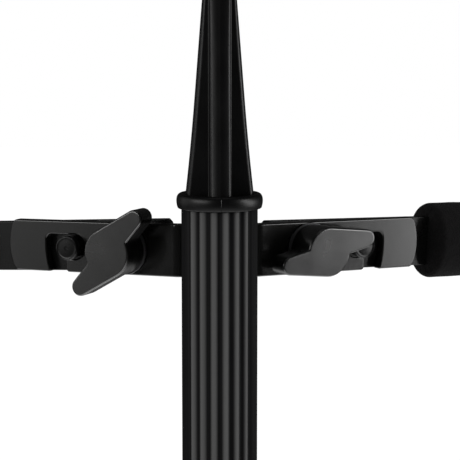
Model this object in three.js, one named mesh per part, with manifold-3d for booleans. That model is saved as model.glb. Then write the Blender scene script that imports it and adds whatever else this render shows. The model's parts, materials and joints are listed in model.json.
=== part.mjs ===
// Folding cello stand: a fluted column on a folding tripod, two padded arms in a V that hook
// into slotted plates, a ribbed peg on top and a hinged rest for the end pin.
// Millimetres, +Z up. The arms open towards +Y and the wing knobs face -Y.
import * as THREE from 'three';
import { mergeVertices } from 'three/addons/utils/BufferGeometryUtils.js';
import Module from 'manifold-3d';

const wasm = await Module();
wasm.setup();

const degree = Math.PI / 180;
const quarterTurn = Math.PI / 2;
const sides = [1, -1];
const sideNames = { '1': 'right', '-1': 'left' };

// Clearances
const seatGap = 0.3;
const runningGap = 0.5;
const overrun = 3;

// Column
const columnRadius = 17.5;
const columnWall = 1.6;
const columnTop = 580;
const fluteCount = 20;
const fluteDepth = 1.2;
const fluteTurn = 5.7 * degree;
const stepsPerFlute = 6;
const boreSegments = 28;

// Peg and its collar, one moulding
const collarHeight = 6.7;
const collarRadius = 19.65;
const collarFootRadius = 19;
const collarLipRadius = 18.3;
const collarDishRadius = 16.2;
const collarDishDepth = 0.8;
const pegLength = 132;
const pegBaseHalfWidth = 15.2;
const pegTopHalfWidth = 5.1;
const pegFlare = 1.05;
const pegFlareHeight = 48;
const pegRibHalfThickness = 4.7;
const pegEdgeRadius = 1;
const pegRootRadius = 0.8;
const pegDomeHeight = 4;
const plugLength = 42;
const collarSegments = 40;

// V bracket
const strapHeight = 25;
const strapThickness = 5;
const bracketDrop = 22.2;
const bendInnerRadius = 1;
const bendStart = 18.3;
const armSpread = 28.5 * degree;
const armFall = 1.6 * degree;
const plateLength = 91.4;
const endArcRadius = 28;
const cornerRadius = 1.5;

// J slot in each plate, and the pin that hooks into it
const slotWidth = 12;
const slotMouth = 11;
const slotCornerRadius = 3;
const hookPlace = 54.2;
const hookToMouth = 10.2;
const pinShankRadius = 5.2;
const pinHeadRadius = 6;
const pinHeadHeight = 3;
const pinPlace = 55.1;
const pinReach = 5.6;
const pinDome = 0.6;
const pinChamfer = 0.7;
const pinTenonRadius = 3.5;
const pinRivetRadius = 5;
const pinRivetHeight = 1.6;

// Arm bars
const barHeight = 24.4;
const barThickness = 5;
const barStart = 2.3;
const boltPlace = 25.9;
const boltRadius = 4;
const boltSlotPlay = 1.9;
const sag = { '1': 0.8 * degree, '-1': 2.3 * degree };

// Foam sleeves and end caps
const foamStart = { '1': 102, '-1': 109.8 };
const foamLength = 120;
const foamHeight = 38;
const foamWidth = 30;
const foamRound = 3;
const capLength = 18;
const capWall = 2.2;
const capFloor = 4;
const capCorner = 6;
const capEdge = 0.8;

// Bolts, washers and wing knobs
const washerThickness = 1.5;
const frontWasherRadius = 12.3;
const rearWasherRadius = 11;
const boltHeadRadius = 8.5;
const boltHeadHeight = 4;
const knobHubRadius = 11.7;
const knobTipRadius = 4.3;
const knobReach = 26.6;
const knobNotchRadius = 1.3;
const knobWingDepth = 11.2;
const knobHubLift = 4.4;
const knobEdge = 1.3;
const knobBoreDepth = 12.4;
const insertRadius = 6;
const insertLength = 10;
const knurlCount = 12;
const knurlDepth = 0.4;
const knobTurn = { '1': 14.4 * degree, '-1': 47.5 * degree };

// Screws that hold the bracket
const screwRadius = 3;
const screwHeadRadius = 5.5;
const screwHeadHeight = 3.2;
const screwSocketRadius = 2.3;
const screwSocketDepth = 1.8;
const screwSpacing = 14;
const nutPlateHalfWidth = 6;
const nutPlateThickness = 5;
const nutPlateHeight = 26;

// Tripod linkage
const legAzimuths = [-90 * degree, 30 * degree, 150 * degree];
const legNames = ['rear', 'right', 'left'];
const spreadAngle = 50 * degree;
const linkLength = 150;
const lowerPivotHeight = 60;
const pivotRadius = 35.5;
const pivotPinRadius = 3;
const rivetHeadRadius = 5;
const rivetHeadHeight = 2.4;

// Lower hub
const lowerHubBottom = 30;
const lowerHubHeight = 41;
const lowerHubRadius = 24;
const hubFloor = 5;
const lowerLugHalfWidth = 10;
const lugRadius = 8;
const hubScrewRadius = 2.5;
const hubScrewHeadRadius = 4.5;
const hubScrewHeadHeight = 1.8;
const hubScrewHeight = 21;
const hubScrewAzimuth = -30 * degree;
const hubEdge = 1.5;

// Sliding hub
const sliderHubRadius = 25;
const sliderHubDrop = 19;
const sliderHubRise = 17;
const clevisWall = 4.5;
const clevisRadius = 9.5;
const bossRadius = 8.5;
const bossReach = 31;
const clampAzimuth = -30 * degree;
const clampPadRadius = 5.6;
const clampPadThickness = 2.8;

// Legs and feet
const legSize = 18;
const legWall = 1.5;
const legCorner = 2.5;
const knuckleReach = 13;
const knuckleSpigot = 22;
const footRadius = 14.5;
const footFlatDepth = 2.6;
const footCover = 30;
const tubeInset = 8;

// Struts
const strutWall = 2;
const strutGap = 1.3;
const strutEndRadius = 9;
const strutWebOffset = 10;
const strutOpenDepth = 5;
const strutWebStart = 24;

// End pin rest
const restPivotRadius = 36;
const restWidth = 20;
const restThickness = 5;
const restEyeRadius = 7;
const restReach = 112;
const restDiscRadius = 16;
const restClevisWall = 4;
const restLedge = 4;
const cupRadius = 15;
const cupHeight = 14;
const cupHollowRadius = 9.5;
const cupHollowDepth = 10;
const cupStemRadius = 4;
const cupStemDrop = 7;
const cupButtonRadius = 6.5;

// Worked-out places
const strapHalf = strapHeight / 2;
const barHalf = barHeight / 2;
const bendOuterRadius = bendInnerRadius + strapThickness;
const strapFace = columnRadius + seatGap;
const armHeight = columnTop - bracketDrop;
const columnBore = columnRadius - fluteDepth - columnWall;
const columnFoot = lowerHubBottom + hubFloor + seatGap;
const hubBore = columnRadius + seatGap;
const upperPivotHeight = lowerPivotHeight + 2 * linkLength * Math.cos(spreadAngle);
const legHalf = legSize / 2;
const strutInner = legHalf + strutGap;
const strutOuter = strutInner + strutWall;
const clevisInner = legHalf + seatGap;
const clevisOuter = clevisInner + clevisWall;
const footCentreHeight = footRadius - footFlatDepth;
const footCentre = (upperPivotHeight - footCentreHeight) / Math.cos(spreadAngle);
const tubeEnd = footCentre - tubeInset;
const slotHalf = slotWidth / 2;
const armTravel = hookPlace + hookToMouth - pinPlace;
const mouthInner = hookPlace + hookToMouth - slotMouth / 2;
const mouthOuter = mouthInner + slotMouth;
const barBack = strapThickness + seatGap + barThickness;
const capStart = foamStart['-1'] + foamLength + seatGap;
const barEnd = capStart + capLength - capFloor - seatGap;
const restPivotHeight = lowerHubBottom + restLedge + seatGap + restEyeRadius;
const restClevisInner = restWidth / 2 + seatGap;
const restClevisOuter = restClevisInner + restClevisWall;
const restTop = restPivotHeight - restEyeRadius + restThickness;
const clampHeight = upperPivotHeight + (sliderHubRise - sliderHubDrop) / 2;

// Materials
function paint(color, roughness, metalness) {
  return new THREE.MeshStandardMaterial({ color, roughness, metalness });
}

const columnPaint = () => paint(0x1c1d1f, 0.35, 0.5);
const steelPaint = () => paint(0x242523, 0.45, 0.4);
const pegPlastic = () => paint(0x161616, 0.5, 0);
const knobPlastic = () => paint(0x1e1e1c, 0.35, 0);
const hubPlastic = () => paint(0x1b1b1c, 0.5, 0);
const foamRubber = () => paint(0x1b191a, 0.95, 0);
const footRubber = () => paint(0x141414, 0.85, 0);
const blackSteel = () => paint(0x2b2b2c, 0.4, 0.6);
const brass = () => paint(0xb08d4a, 0.35, 0.9);

// Solids in and out of the boolean library
function toSolid(geometry) {
  const bare = geometry.clone();
  bare.deleteAttribute('normal');
  bare.deleteAttribute('uv');
  const merged = mergeVertices(bare, seatGap / 1000);
  return new wasm.Manifold(new wasm.Mesh({
    numProp: 3,
    vertProperties: new Float32Array(merged.attributes.position.array),
    triVerts: new Uint32Array(merged.index.array),
  }));
}

function toGeometry(solid) {
  const shape = solid.getMesh();
  const geometry = new THREE.BufferGeometry();
  geometry.setAttribute('position', new THREE.BufferAttribute(new Float32Array(shape.vertProperties), 3));
  geometry.setIndex(new THREE.BufferAttribute(new Uint32Array(shape.triVerts), 1));
  geometry.computeVertexNormals();
  return geometry;
}

function join(...geometries) {
  return toGeometry(geometries.map(toSolid).reduce((whole, piece) => whole.add(piece)));
}

function cut(geometry, ...cutters) {
  return toGeometry(cutters.map(toSolid).reduce((whole, cutter) => whole.subtract(cutter), toSolid(geometry)));
}

function common(geometry, other) {
  return toGeometry(toSolid(geometry).intersect(toSolid(other)));
}

function place(name, geometry, material, parent) {
  const mesh = new THREE.Mesh(geometry, material);
  mesh.name = name;
  parent.add(mesh);
  return mesh;
}

// Basic forms
function block(xLow, xHigh, yLow, yHigh, zLow, zHigh) {
  const form = new THREE.BoxGeometry(xHigh - xLow, yHigh - yLow, zHigh - zLow);
  return form.translate((xLow + xHigh) / 2, (yLow + yHigh) / 2, (zLow + zHigh) / 2);
}

function rodAlongZ(radius, low, high, segments = 24) {
  const form = new THREE.CylinderGeometry(radius, radius, high - low, segments);
  return form.rotateX(quarterTurn).translate(0, 0, (low + high) / 2);
}

function rodAlongY(radius, low, high, segments = 24) {
  const form = new THREE.CylinderGeometry(radius, radius, high - low, segments);
  return form.translate(0, (low + high) / 2, 0);
}

function rodAlongX(radius, low, high, segments = 24) {
  const form = new THREE.CylinderGeometry(radius, radius, high - low, segments);
  return form.rotateZ(-quarterTurn).translate((low + high) / 2, 0, 0);
}

function turned(profile, segments = 24) {
  return new THREE.LatheGeometry(profile.map(([r, z]) => new THREE.Vector2(r, z)), segments).rotateX(quarterTurn);
}

// A shape drawn in x and z, given its thickness along y
function slab(shape, yLow, yHigh, curveSegments = 8, edge = 0) {
  const form = new THREE.ExtrudeGeometry(shape, {
    depth: yHigh - yLow - 2 * edge,
    curveSegments,
    bevelEnabled: edge > 0,
    bevelThickness: edge,
    bevelSize: edge,
    bevelOffset: -edge,
    bevelSegments: 2,
  });
  return form.rotateX(quarterTurn).translate(0, yHigh - edge, 0);
}

function roundedRectangle(halfWidth, halfHeight, radius) {
  const shape = new THREE.Shape();
  shape.moveTo(halfWidth, -halfHeight + radius);
  shape.absarc(halfWidth - radius, halfHeight - radius, radius, 0, quarterTurn);
  shape.absarc(-halfWidth + radius, halfHeight - radius, radius, quarterTurn, Math.PI);
  shape.absarc(-halfWidth + radius, -halfHeight + radius, radius, Math.PI, Math.PI + quarterTurn);
  shape.absarc(halfWidth - radius, -halfHeight + radius, radius, -quarterTurn, 0);
  return shape;
}

// Column: a tube whose outside is rolled into shallow flutes
function columnTube() {
  const shape = new THREE.Shape();
  const steps = fluteCount * stepsPerFlute;
  for (let i = 0; i < steps; i++) {
    const turn = (i / steps) * 2 * Math.PI;
    const radius = columnRadius - (fluteDepth / 2) * (1 - Math.cos(turn * fluteCount));
    const angle = fluteTurn + turn;
    const x = radius * Math.cos(angle);
    const y = radius * Math.sin(angle);
    if (i === 0) shape.moveTo(x, y);
    else shape.lineTo(x, y);
  }
  shape.closePath();
  const bore = new THREE.Path();
  bore.absarc(0, 0, columnBore, 0, 2 * Math.PI, true);
  shape.holes.push(bore);
  const tube = new THREE.ExtrudeGeometry(shape, {
    depth: columnTop - columnFoot,
    curveSegments: boreSegments / 2,
    bevelEnabled: false,
  }).translate(0, 0, columnFoot);
  const holes = screwHeights().map((z) => rodAlongY(screwRadius + seatGap, 0, columnRadius + overrun, 10)
    .translate(0, 0, z));
  return cut(tube, ...holes);
}

function screwHeights() {
  return sides.map((side) => armHeight + side * screwSpacing / 2);
}

// Peg: four ribs in a cross that taper to a blunt tip
function crossSection(halfWidth, halfThickness) {
  const edge = Math.min(pegEdgeRadius, halfThickness / 2);
  const root = pegRootRadius * Math.min(1, (halfWidth - halfThickness) / pegRootRadius / 2);
  const quarter = [
    [halfWidth, -halfThickness + edge],
    [halfWidth, halfThickness - edge],
    [halfWidth - edge * (1 - Math.SQRT1_2), halfThickness - edge * (1 - Math.SQRT1_2)],
    [halfWidth - edge, halfThickness],
    [halfThickness + root, halfThickness],
    [halfThickness + root * (1 - Math.SQRT1_2), halfThickness + root * (1 - Math.SQRT1_2)],
    [halfThickness, halfThickness + root],
    [halfThickness, halfWidth - edge],
    [halfThickness - edge * (1 - Math.SQRT1_2), halfWidth - edge * (1 - Math.SQRT1_2)],
  ];
  const points = [];
  for (let turn = 0; turn < 4; turn++) {
    const c = Math.round(Math.cos(turn * quarterTurn));
    const s = Math.round(Math.sin(turn * quarterTurn));
    quarter.forEach(([x, y]) => points.push([c * x - s * y, s * x + c * y]));
  }
  return points;
}

function lofted(rows) {
  const ring = rows[0].points.length;
  const positions = [];
  rows.forEach(({ z, points }) => points.forEach(([x, y]) => positions.push(x, y, z)));
  const low = positions.length / 3;
  positions.push(0, 0, rows[0].z);
  positions.push(0, 0, rows[rows.length - 1].z);
  const faces = [];
  for (let row = 0; row < rows.length - 1; row++) {
    for (let i = 0; i < ring; i++) {
      const a = row * ring + i;
      const b = row * ring + (i + 1) % ring;
      faces.push(a, b, b + ring, a, b + ring, a + ring);
    }
  }
  const last = (rows.length - 1) * ring;
  for (let i = 0; i < ring; i++) {
    const next = (i + 1) % ring;
    faces.push(low, next, i);
    faces.push(low + 1, last + i, last + next);
  }
  const geometry = new THREE.BufferGeometry();
  geometry.setAttribute('position', new THREE.Float32BufferAttribute(positions, 3));
  geometry.setIndex(faces);
  return geometry;
}

function topPeg() {
  const plugRadius = columnBore - seatGap;
  const bead = new THREE.Path();
  bead.moveTo(collarFootRadius, 0);
  bead.bezierCurveTo(
    collarRadius, collarHeight * 0.24,
    collarRadius * 1.03, collarHeight * 0.84,
    collarLipRadius, collarHeight * 0.965,
  );
  bead.quadraticCurveTo(
    (collarLipRadius + collarDishRadius) / 2, collarHeight * 1.05,
    collarDishRadius, collarHeight - collarDishDepth,
  );
  const outline = [[0, -plugLength], [plugRadius - seatGap, -plugLength], [plugRadius, 0]];
  bead.getPoints(4).forEach((p) => outline.push([p.x, p.y]));
  outline.push([0, collarHeight - collarDishDepth]);
  const collar = turned(outline, collarSegments);

  const domeStart = pegLength - pegDomeHeight;
  const rows = [];
  const flareSteps = 4;
  for (let i = 0; i <= flareSteps; i++) {
    const z = pegFlareHeight * i / flareSteps;
    const straight = pegBaseHalfWidth + (pegTopHalfWidth - pegBaseHalfWidth) * z / domeStart;
    const flare = pegFlare * (1 - z / pegFlareHeight) ** 2;
    rows.push({ z, points: crossSection(straight + flare, pegRibHalfThickness) });
  }
  rows.push({ z: domeStart, points: crossSection(pegTopHalfWidth, pegRibHalfThickness) });
  const domeSteps = 3;
  for (let i = 1; i <= domeSteps; i++) {
    const angle = (i / (domeSteps + 1)) * quarterTurn;
    const shrink = pegDomeHeight * (1 - Math.cos(angle));
    rows.push({
      z: domeStart + pegDomeHeight * Math.sin(angle),
      points: crossSection(pegTopHalfWidth - shrink, pegRibHalfThickness - shrink),
    });
  }
  const moulding = join(collar, lofted(rows)).translate(0, 0, columnTop + seatGap);
  const pocketHalf = nutPlateHeight / 2 + seatGap;
  const pocket = block(-nutPlateHalfWidth - seatGap, nutPlateHalfWidth + seatGap,
    nutPlateFace() - nutPlateThickness - seatGap, columnRadius, armHeight - pocketHalf, armHeight + pocketHalf);
  return cut(moulding, pocket);
}

// Frames of the two arms: x runs out along the plate, z is up, and the far side is side * y
function armFrame(side) {
  const frame = new THREE.Group();
  frame.position.set(
    side * (bendStart + bendOuterRadius * Math.sin(armSpread)),
    strapFace + bendOuterRadius * (1 - Math.cos(armSpread)),
    armHeight,
  );
  frame.rotation.z = side > 0 ? armSpread : Math.PI - armSpread;
  const fallen = new THREE.Group();
  fallen.rotation.y = armFall;
  frame.add(fallen);
  frame.updateMatrixWorld(true);
  return { frame, fallen };
}

function farSlab(shape, side, near, far, curveSegments, edge) {
  return side > 0 ? slab(shape, near, far, curveSegments, edge) : slab(shape, -far, -near, curveSegments, edge);
}

// Outline of one slotted plate, with the J slot open at its lower edge
function plateShape() {
  const wallRadius = mouthOuter - boltPlace;
  const wallFoot = Math.asin(strapHalf / wallRadius);
  const wallHead = Math.asin((slotHalf - slotCornerRadius) / wallRadius);
  const endReach = Math.asin((strapHalf - cornerRadius) / endArcRadius);
  const endCentre = plateLength - endArcRadius;
  const shape = new THREE.Shape();
  shape.moveTo(-cornerRadius, -strapHalf);
  shape.lineTo(mouthInner - cornerRadius, -strapHalf);
  shape.quadraticCurveTo(mouthInner, -strapHalf, mouthInner, -strapHalf + cornerRadius);
  shape.lineTo(mouthInner, -slotHalf - cornerRadius);
  shape.quadraticCurveTo(mouthInner, -slotHalf, mouthInner - cornerRadius, -slotHalf);
  shape.absarc(hookPlace, 0, slotHalf, -quarterTurn, quarterTurn, true);
  const headX = boltPlace + wallRadius * Math.cos(wallHead);
  shape.lineTo(headX - slotCornerRadius, slotHalf);
  shape.absarc(headX - slotCornerRadius, slotHalf - slotCornerRadius, slotCornerRadius, quarterTurn, 0, true);
  shape.absarc(boltPlace, 0, wallRadius, wallHead, -wallFoot, true);
  const endX = endCentre + endArcRadius * Math.cos(endReach);
  shape.lineTo(endX - cornerRadius, -strapHalf);
  shape.absarc(endCentre, 0, endArcRadius, -endReach, endReach);
  shape.lineTo(endX - cornerRadius, strapHalf);
  shape.lineTo(-cornerRadius, strapHalf);
  shape.closePath();
  const hole = new THREE.Path();
  hole.absarc(boltPlace, 0, boltRadius + seatGap, 0, 2 * Math.PI, true);
  shape.holes.push(hole);
  return shape;
}

function bracketPlan() {
  const far = strapFace + strapThickness;
  const centreY = strapFace + bendOuterRadius;
  const lead = cornerRadius;
  const along = [Math.cos(armSpread), Math.sin(armSpread)];
  const across = [Math.sin(armSpread), -Math.cos(armSpread)];
  const shape = new THREE.Shape();
  shape.moveTo(0, strapFace);
  shape.lineTo(bendStart, strapFace);
  shape.absarc(bendStart, centreY, bendOuterRadius, -quarterTurn, -quarterTurn + armSpread);
  shape.lineTo(
    bendStart + bendOuterRadius * across[0] + lead * along[0],
    centreY + bendOuterRadius * across[1] + lead * along[1],
  );
  shape.lineTo(
    bendStart + bendInnerRadius * across[0] + lead * along[0],
    centreY + bendInnerRadius * across[1] + lead * along[1],
  );
  shape.absarc(bendStart, centreY, bendInnerRadius, -quarterTurn + armSpread, -quarterTurn, true);
  shape.lineTo(0, far);
  shape.closePath();
  return shape;
}

function vBracket() {
  const half = new THREE.ExtrudeGeometry(bracketPlan(), { depth: strapHeight, curveSegments: 3, bevelEnabled: false })
    .translate(0, 0, armHeight - strapHalf);
  const seam = block(-cornerRadius, cornerRadius, strapFace, strapFace + strapThickness,
    armHeight - strapHalf, armHeight + strapHalf);
  const mirrored = half.clone().scale(-1, 1, 1);
  flipFaces(mirrored);
  const plates = sides.map((side) => {
    const { fallen } = armFrame(side);
    return farSlab(plateShape(), side, 0, strapThickness, 5).applyMatrix4(fallen.matrixWorld);
  });
  const holes = screwHeights().map((z) => rodAlongY(screwRadius + seatGap, strapFace - overrun,
    strapFace + strapThickness + overrun, 10).translate(0, 0, z));
  return cut(join(half, mirrored, seam, ...plates), ...holes);
}

function flipFaces(geometry) {
  const bare = geometry.attributes.position;
  for (let i = 0; i < bare.count; i += 3) {
    const first = new THREE.Vector3().fromBufferAttribute(bare, i);
    const last = new THREE.Vector3().fromBufferAttribute(bare, i + 2);
    bare.setXYZ(i, last.x, last.y, last.z);
    bare.setXYZ(i + 2, first.x, first.y, first.z);
  }
}

// Screws through strap and column into a nut plate inside the column
function bracketScrew(height) {
  const headBase = strapFace + strapThickness + seatGap;
  const tip = nutPlateFace() - nutPlateThickness;
  const profile = [
    [0, tip],
    [screwRadius, tip],
    [screwRadius, headBase],
    [screwHeadRadius, headBase],
    [screwHeadRadius, headBase + screwHeadHeight * 0.35],
    [screwHeadRadius * 0.8, headBase + screwHeadHeight * 0.85],
    [screwHeadRadius * 0.5, headBase + screwHeadHeight],
    [0, headBase + screwHeadHeight],
  ];
  const socket = rodAlongZ(screwSocketRadius, headBase + screwHeadHeight - screwSocketDepth,
    headBase + screwHeadHeight + overrun, 6);
  return cut(turned(profile, 14), socket).rotateX(-quarterTurn).translate(0, 0, height);
}

function nutPlateFace() {
  return Math.sqrt(columnBore ** 2 - nutPlateHalfWidth ** 2) - seatGap;
}

function bracketNutPlate() {
  const face = nutPlateFace();
  const plate = block(-nutPlateHalfWidth, nutPlateHalfWidth, face - nutPlateThickness, face,
    armHeight - nutPlateHeight / 2, armHeight + nutPlateHeight / 2);
  const holes = screwHeights().map((z) => rodAlongY(screwRadius + seatGap, 0, columnRadius, 12)
    .translate(0, 0, z));
  return cut(plate, ...holes);
}

// Arm: flat bar with a round-ended slot for the knob's bolt, in a frame that sags about the pin
function barShape() {
  const endReach = Math.asin((barHalf - cornerRadius) / endArcRadius);
  const endCentre = barStart + endArcRadius - pinPlace;
  const endX = endCentre - endArcRadius * Math.cos(endReach);
  const outer = barEnd - pinPlace;
  const shape = new THREE.Shape();
  shape.moveTo(outer, -barHalf);
  shape.lineTo(outer, barHalf);
  shape.lineTo(endX + cornerRadius, barHalf);
  shape.absarc(endCentre, 0, endArcRadius, Math.PI - endReach, Math.PI + endReach);
  shape.lineTo(endX + cornerRadius, -barHalf);
  shape.closePath();
  const slotRadius = boltRadius + boltSlotPlay;
  const slotOuter = boltPlace - pinPlace;
  const slot = new THREE.Path();
  slot.moveTo(slotOuter, slotRadius);
  slot.absarc(slotOuter, 0, slotRadius, quarterTurn, -quarterTurn, true);
  slot.absarc(slotOuter - armTravel, 0, slotRadius, -quarterTurn, -quarterTurn - Math.PI, true);
  slot.closePath();
  shape.holes.push(slot);
  const pinHole = new THREE.Path();
  pinHole.absarc(0, 0, pinTenonRadius + seatGap, 0, 2 * Math.PI, true);
  shape.holes.push(pinHole);
  return shape;
}

function armPin(side) {
  const profile = [
    [0, -barBack - seatGap - pinRivetHeight],
    [pinRivetRadius * 0.8, -barBack - seatGap - pinRivetHeight],
    [pinRivetRadius, -barBack - seatGap],
    [pinTenonRadius, -barBack - seatGap],
    [pinTenonRadius, -strapThickness],
    [pinShankRadius, -strapThickness],
    [pinShankRadius, pinReach - pinHeadHeight],
    [pinHeadRadius, pinReach - pinHeadHeight],
    [pinHeadRadius, pinReach - pinDome - pinChamfer],
    [pinHeadRadius - pinChamfer, pinReach - pinDome],
    [0, pinReach],
  ];
  return turned(profile, 20).rotateX(side * quarterTurn);
}

function foamSleeve(side, middle) {
  const oval = new THREE.Shape();
  oval.absellipse(0, 0, foamHeight / 2, foamWidth / 2, 0, 2 * Math.PI);
  const start = foamStart[side] - pinPlace;
  const sleeve = new THREE.ExtrudeGeometry(oval, {
    depth: foamLength - 2 * foamRound,
    curveSegments: 10,
    bevelThickness: foamRound,
    bevelSize: foamRound,
    bevelOffset: -foamRound,
    bevelSegments: 3,
  }).rotateY(quarterTurn).translate(start + foamRound, middle, 0);
  const hollow = block(start - overrun, start + foamLength + overrun,
    middle - barThickness / 2 - seatGap, middle + barThickness / 2 + seatGap,
    -barHalf - seatGap, barHalf + seatGap);
  return cut(sleeve, hollow);
}

function endCap(middle) {
  const start = capStart - pinPlace;
  const halfHeight = barHalf + seatGap + capWall;
  const shape = new THREE.Shape();
  shape.moveTo(start, -halfHeight);
  shape.lineTo(start + capLength - capCorner, -halfHeight);
  shape.absarc(start + capLength - capCorner, -halfHeight + capCorner, capCorner, -quarterTurn, 0);
  shape.absarc(start + capLength - capCorner, halfHeight - capCorner, capCorner, 0, quarterTurn);
  shape.lineTo(start, halfHeight);
  shape.closePath();
  const halfDepth = barThickness / 2 + seatGap + capWall;
  const body = slab(shape, middle - halfDepth, middle + halfDepth, 3, capEdge);
  const hollow = block(start - overrun, barEnd - pinPlace + seatGap,
    middle - barThickness / 2 - seatGap, middle + barThickness / 2 + seatGap,
    -barHalf - seatGap, barHalf + seatGap);
  return cut(body, hollow);
}

// Carriage bolt: its head is behind the bar and its end is inside the knob
function knobBolt(side) {
  const seat = -barBack - seatGap - washerThickness - seatGap;
  const tip = seatGap + washerThickness + seatGap + knobBoreDepth - seatGap - 1;
  const profile = [
    [0, seat - boltHeadHeight],
    [boltHeadRadius * 0.45, seat - boltHeadHeight * 0.9],
    [boltHeadRadius * 0.85, seat - boltHeadHeight * 0.5],
    [boltHeadRadius, seat - boltHeadHeight * 0.15],
    [boltHeadRadius, seat],
    [boltRadius, seat],
    [boltRadius, tip],
    [0, tip],
  ];
  return turned(profile, 16).rotateX(side * quarterTurn).translate(boltPlace, 0, 0);
}

function washer(radius, low) {
  const profile = [
    [boltRadius + seatGap, low],
    [radius, low],
    [radius, low + washerThickness],
    [boltRadius + seatGap, low + washerThickness],
    [boltRadius + seatGap, low],
  ];
  return turned(profile, 18);
}

// Wing knob: an S of two tapered wings whose outer edges run off the hub as tangents
function knobShape() {
  const tipPlace = knobReach - knobTipRadius;
  const tangent = Math.acos((knobHubRadius - knobTipRadius) / tipPlace);
  const notchX = Math.sqrt((knobHubRadius + knobNotchRadius) ** 2 - (knobTipRadius + knobNotchRadius) ** 2);
  const notchAngle = Math.atan2(-knobTipRadius - knobNotchRadius, notchX);
  const shape = new THREE.Shape();
  for (const half of [0, Math.PI]) {
    const c = Math.cos(half);
    shape.absarc(0, 0, knobHubRadius, half + Math.PI + notchAngle, half + tangent, true);
    shape.absarc(c * tipPlace, 0, knobTipRadius, half + tangent, half - quarterTurn, true);
    shape.absarc(c * notchX, c * (-knobTipRadius - knobNotchRadius), knobNotchRadius,
      half + quarterTurn, half + Math.PI + notchAngle);
  }
  shape.closePath();
  return shape;
}

function wingKnob() {
  const wings = new THREE.ExtrudeGeometry(knobShape(), {
    depth: knobWingDepth - 2 * knobEdge,
    curveSegments: 3,
    bevelThickness: knobEdge,
    bevelSize: knobEdge,
    bevelOffset: -knobEdge,
    bevelSegments: 2,
  }).translate(0, 0, knobHubLift + knobEdge);
  const hub = rodAlongZ(knobHubRadius - seatGap, 0, knobHubLift + 2 * knobEdge, 24);
  const bore = rodAlongZ(insertRadius + seatGap, -overrun, knobBoreDepth, 16);
  return cut(join(wings, hub), bore);
}

function knobInsert() {
  const shape = new THREE.Shape();
  const steps = knurlCount * 2;
  for (let i = 0; i < steps; i++) {
    const angle = (i / steps) * 2 * Math.PI;
    const radius = insertRadius - (i % 2) * knurlDepth;
    if (i === 0) shape.moveTo(radius, 0);
    else shape.lineTo(radius * Math.cos(angle), radius * Math.sin(angle));
  }
  shape.closePath();
  const bore = new THREE.Path();
  bore.absarc(0, 0, boltRadius + seatGap, 0, 2 * Math.PI, true);
  shape.holes.push(bore);
  return new THREE.ExtrudeGeometry(shape, { depth: insertLength, curveSegments: 6, bevelEnabled: false })
    .translate(0, 0, seatGap);
}

function addKnob(name, parent, base, turn) {
  const holder = new THREE.Group();
  holder.position.z = base;
  holder.rotation.z = turn;
  parent.add(holder);
  place(`${name}_knob`, wingKnob(), knobPlastic(), holder);
  place(`${name}_knob_insert`, knobInsert(), brass(), holder);
}

function addArm(side, stand) {
  const name = sideNames[side];
  const { frame, fallen } = armFrame(side);
  stand.add(frame);

  const sagging = new THREE.Group();
  sagging.position.x = pinPlace;
  sagging.rotation.y = sag[side];
  fallen.add(sagging);
  const near = strapThickness + seatGap;
  const middle = side * (near + barThickness / 2);
  place(`${name}_arm_bar`, farSlab(barShape(), side, near, near + barThickness, 4), steelPaint(), sagging);
  place(`${name}_arm_pin`, armPin(side), blackSteel(), sagging);
  place(`${name}_foam_sleeve`, foamSleeve(side, middle), foamRubber(), sagging);
  place(`${name}_arm_cap`, endCap(middle), hubPlastic(), sagging);

  place(`${name}_bolt`, knobBolt(side), blackSteel(), fallen);
  const axis = new THREE.Group();
  axis.position.x = boltPlace;
  axis.rotation.x = side * quarterTurn;
  fallen.add(axis);
  place(`${name}_rear_washer`, washer(rearWasherRadius, -barBack - seatGap - washerThickness), blackSteel(), axis);
  place(`${name}_front_washer`, washer(frontWasherRadius, seatGap), blackSteel(), axis);
  const facing = side > 0 ? knobTurn[side] : Math.PI + knobTurn[side];
  addKnob(`${name}_arm`, axis, seatGap + washerThickness + seatGap, facing);
}

// Hubs
function lug(radius, reach, height, yLow, yHigh) {
  const shape = new THREE.Shape();
  shape.moveTo(columnRadius + overrun / 2, height - radius);
  shape.lineTo(reach, height - radius);
  shape.absarc(reach, height, radius, -quarterTurn, quarterTurn);
  shape.lineTo(columnRadius + overrun / 2, height + radius);
  shape.closePath();
  return slab(shape, yLow, yHigh, 3);
}

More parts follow.
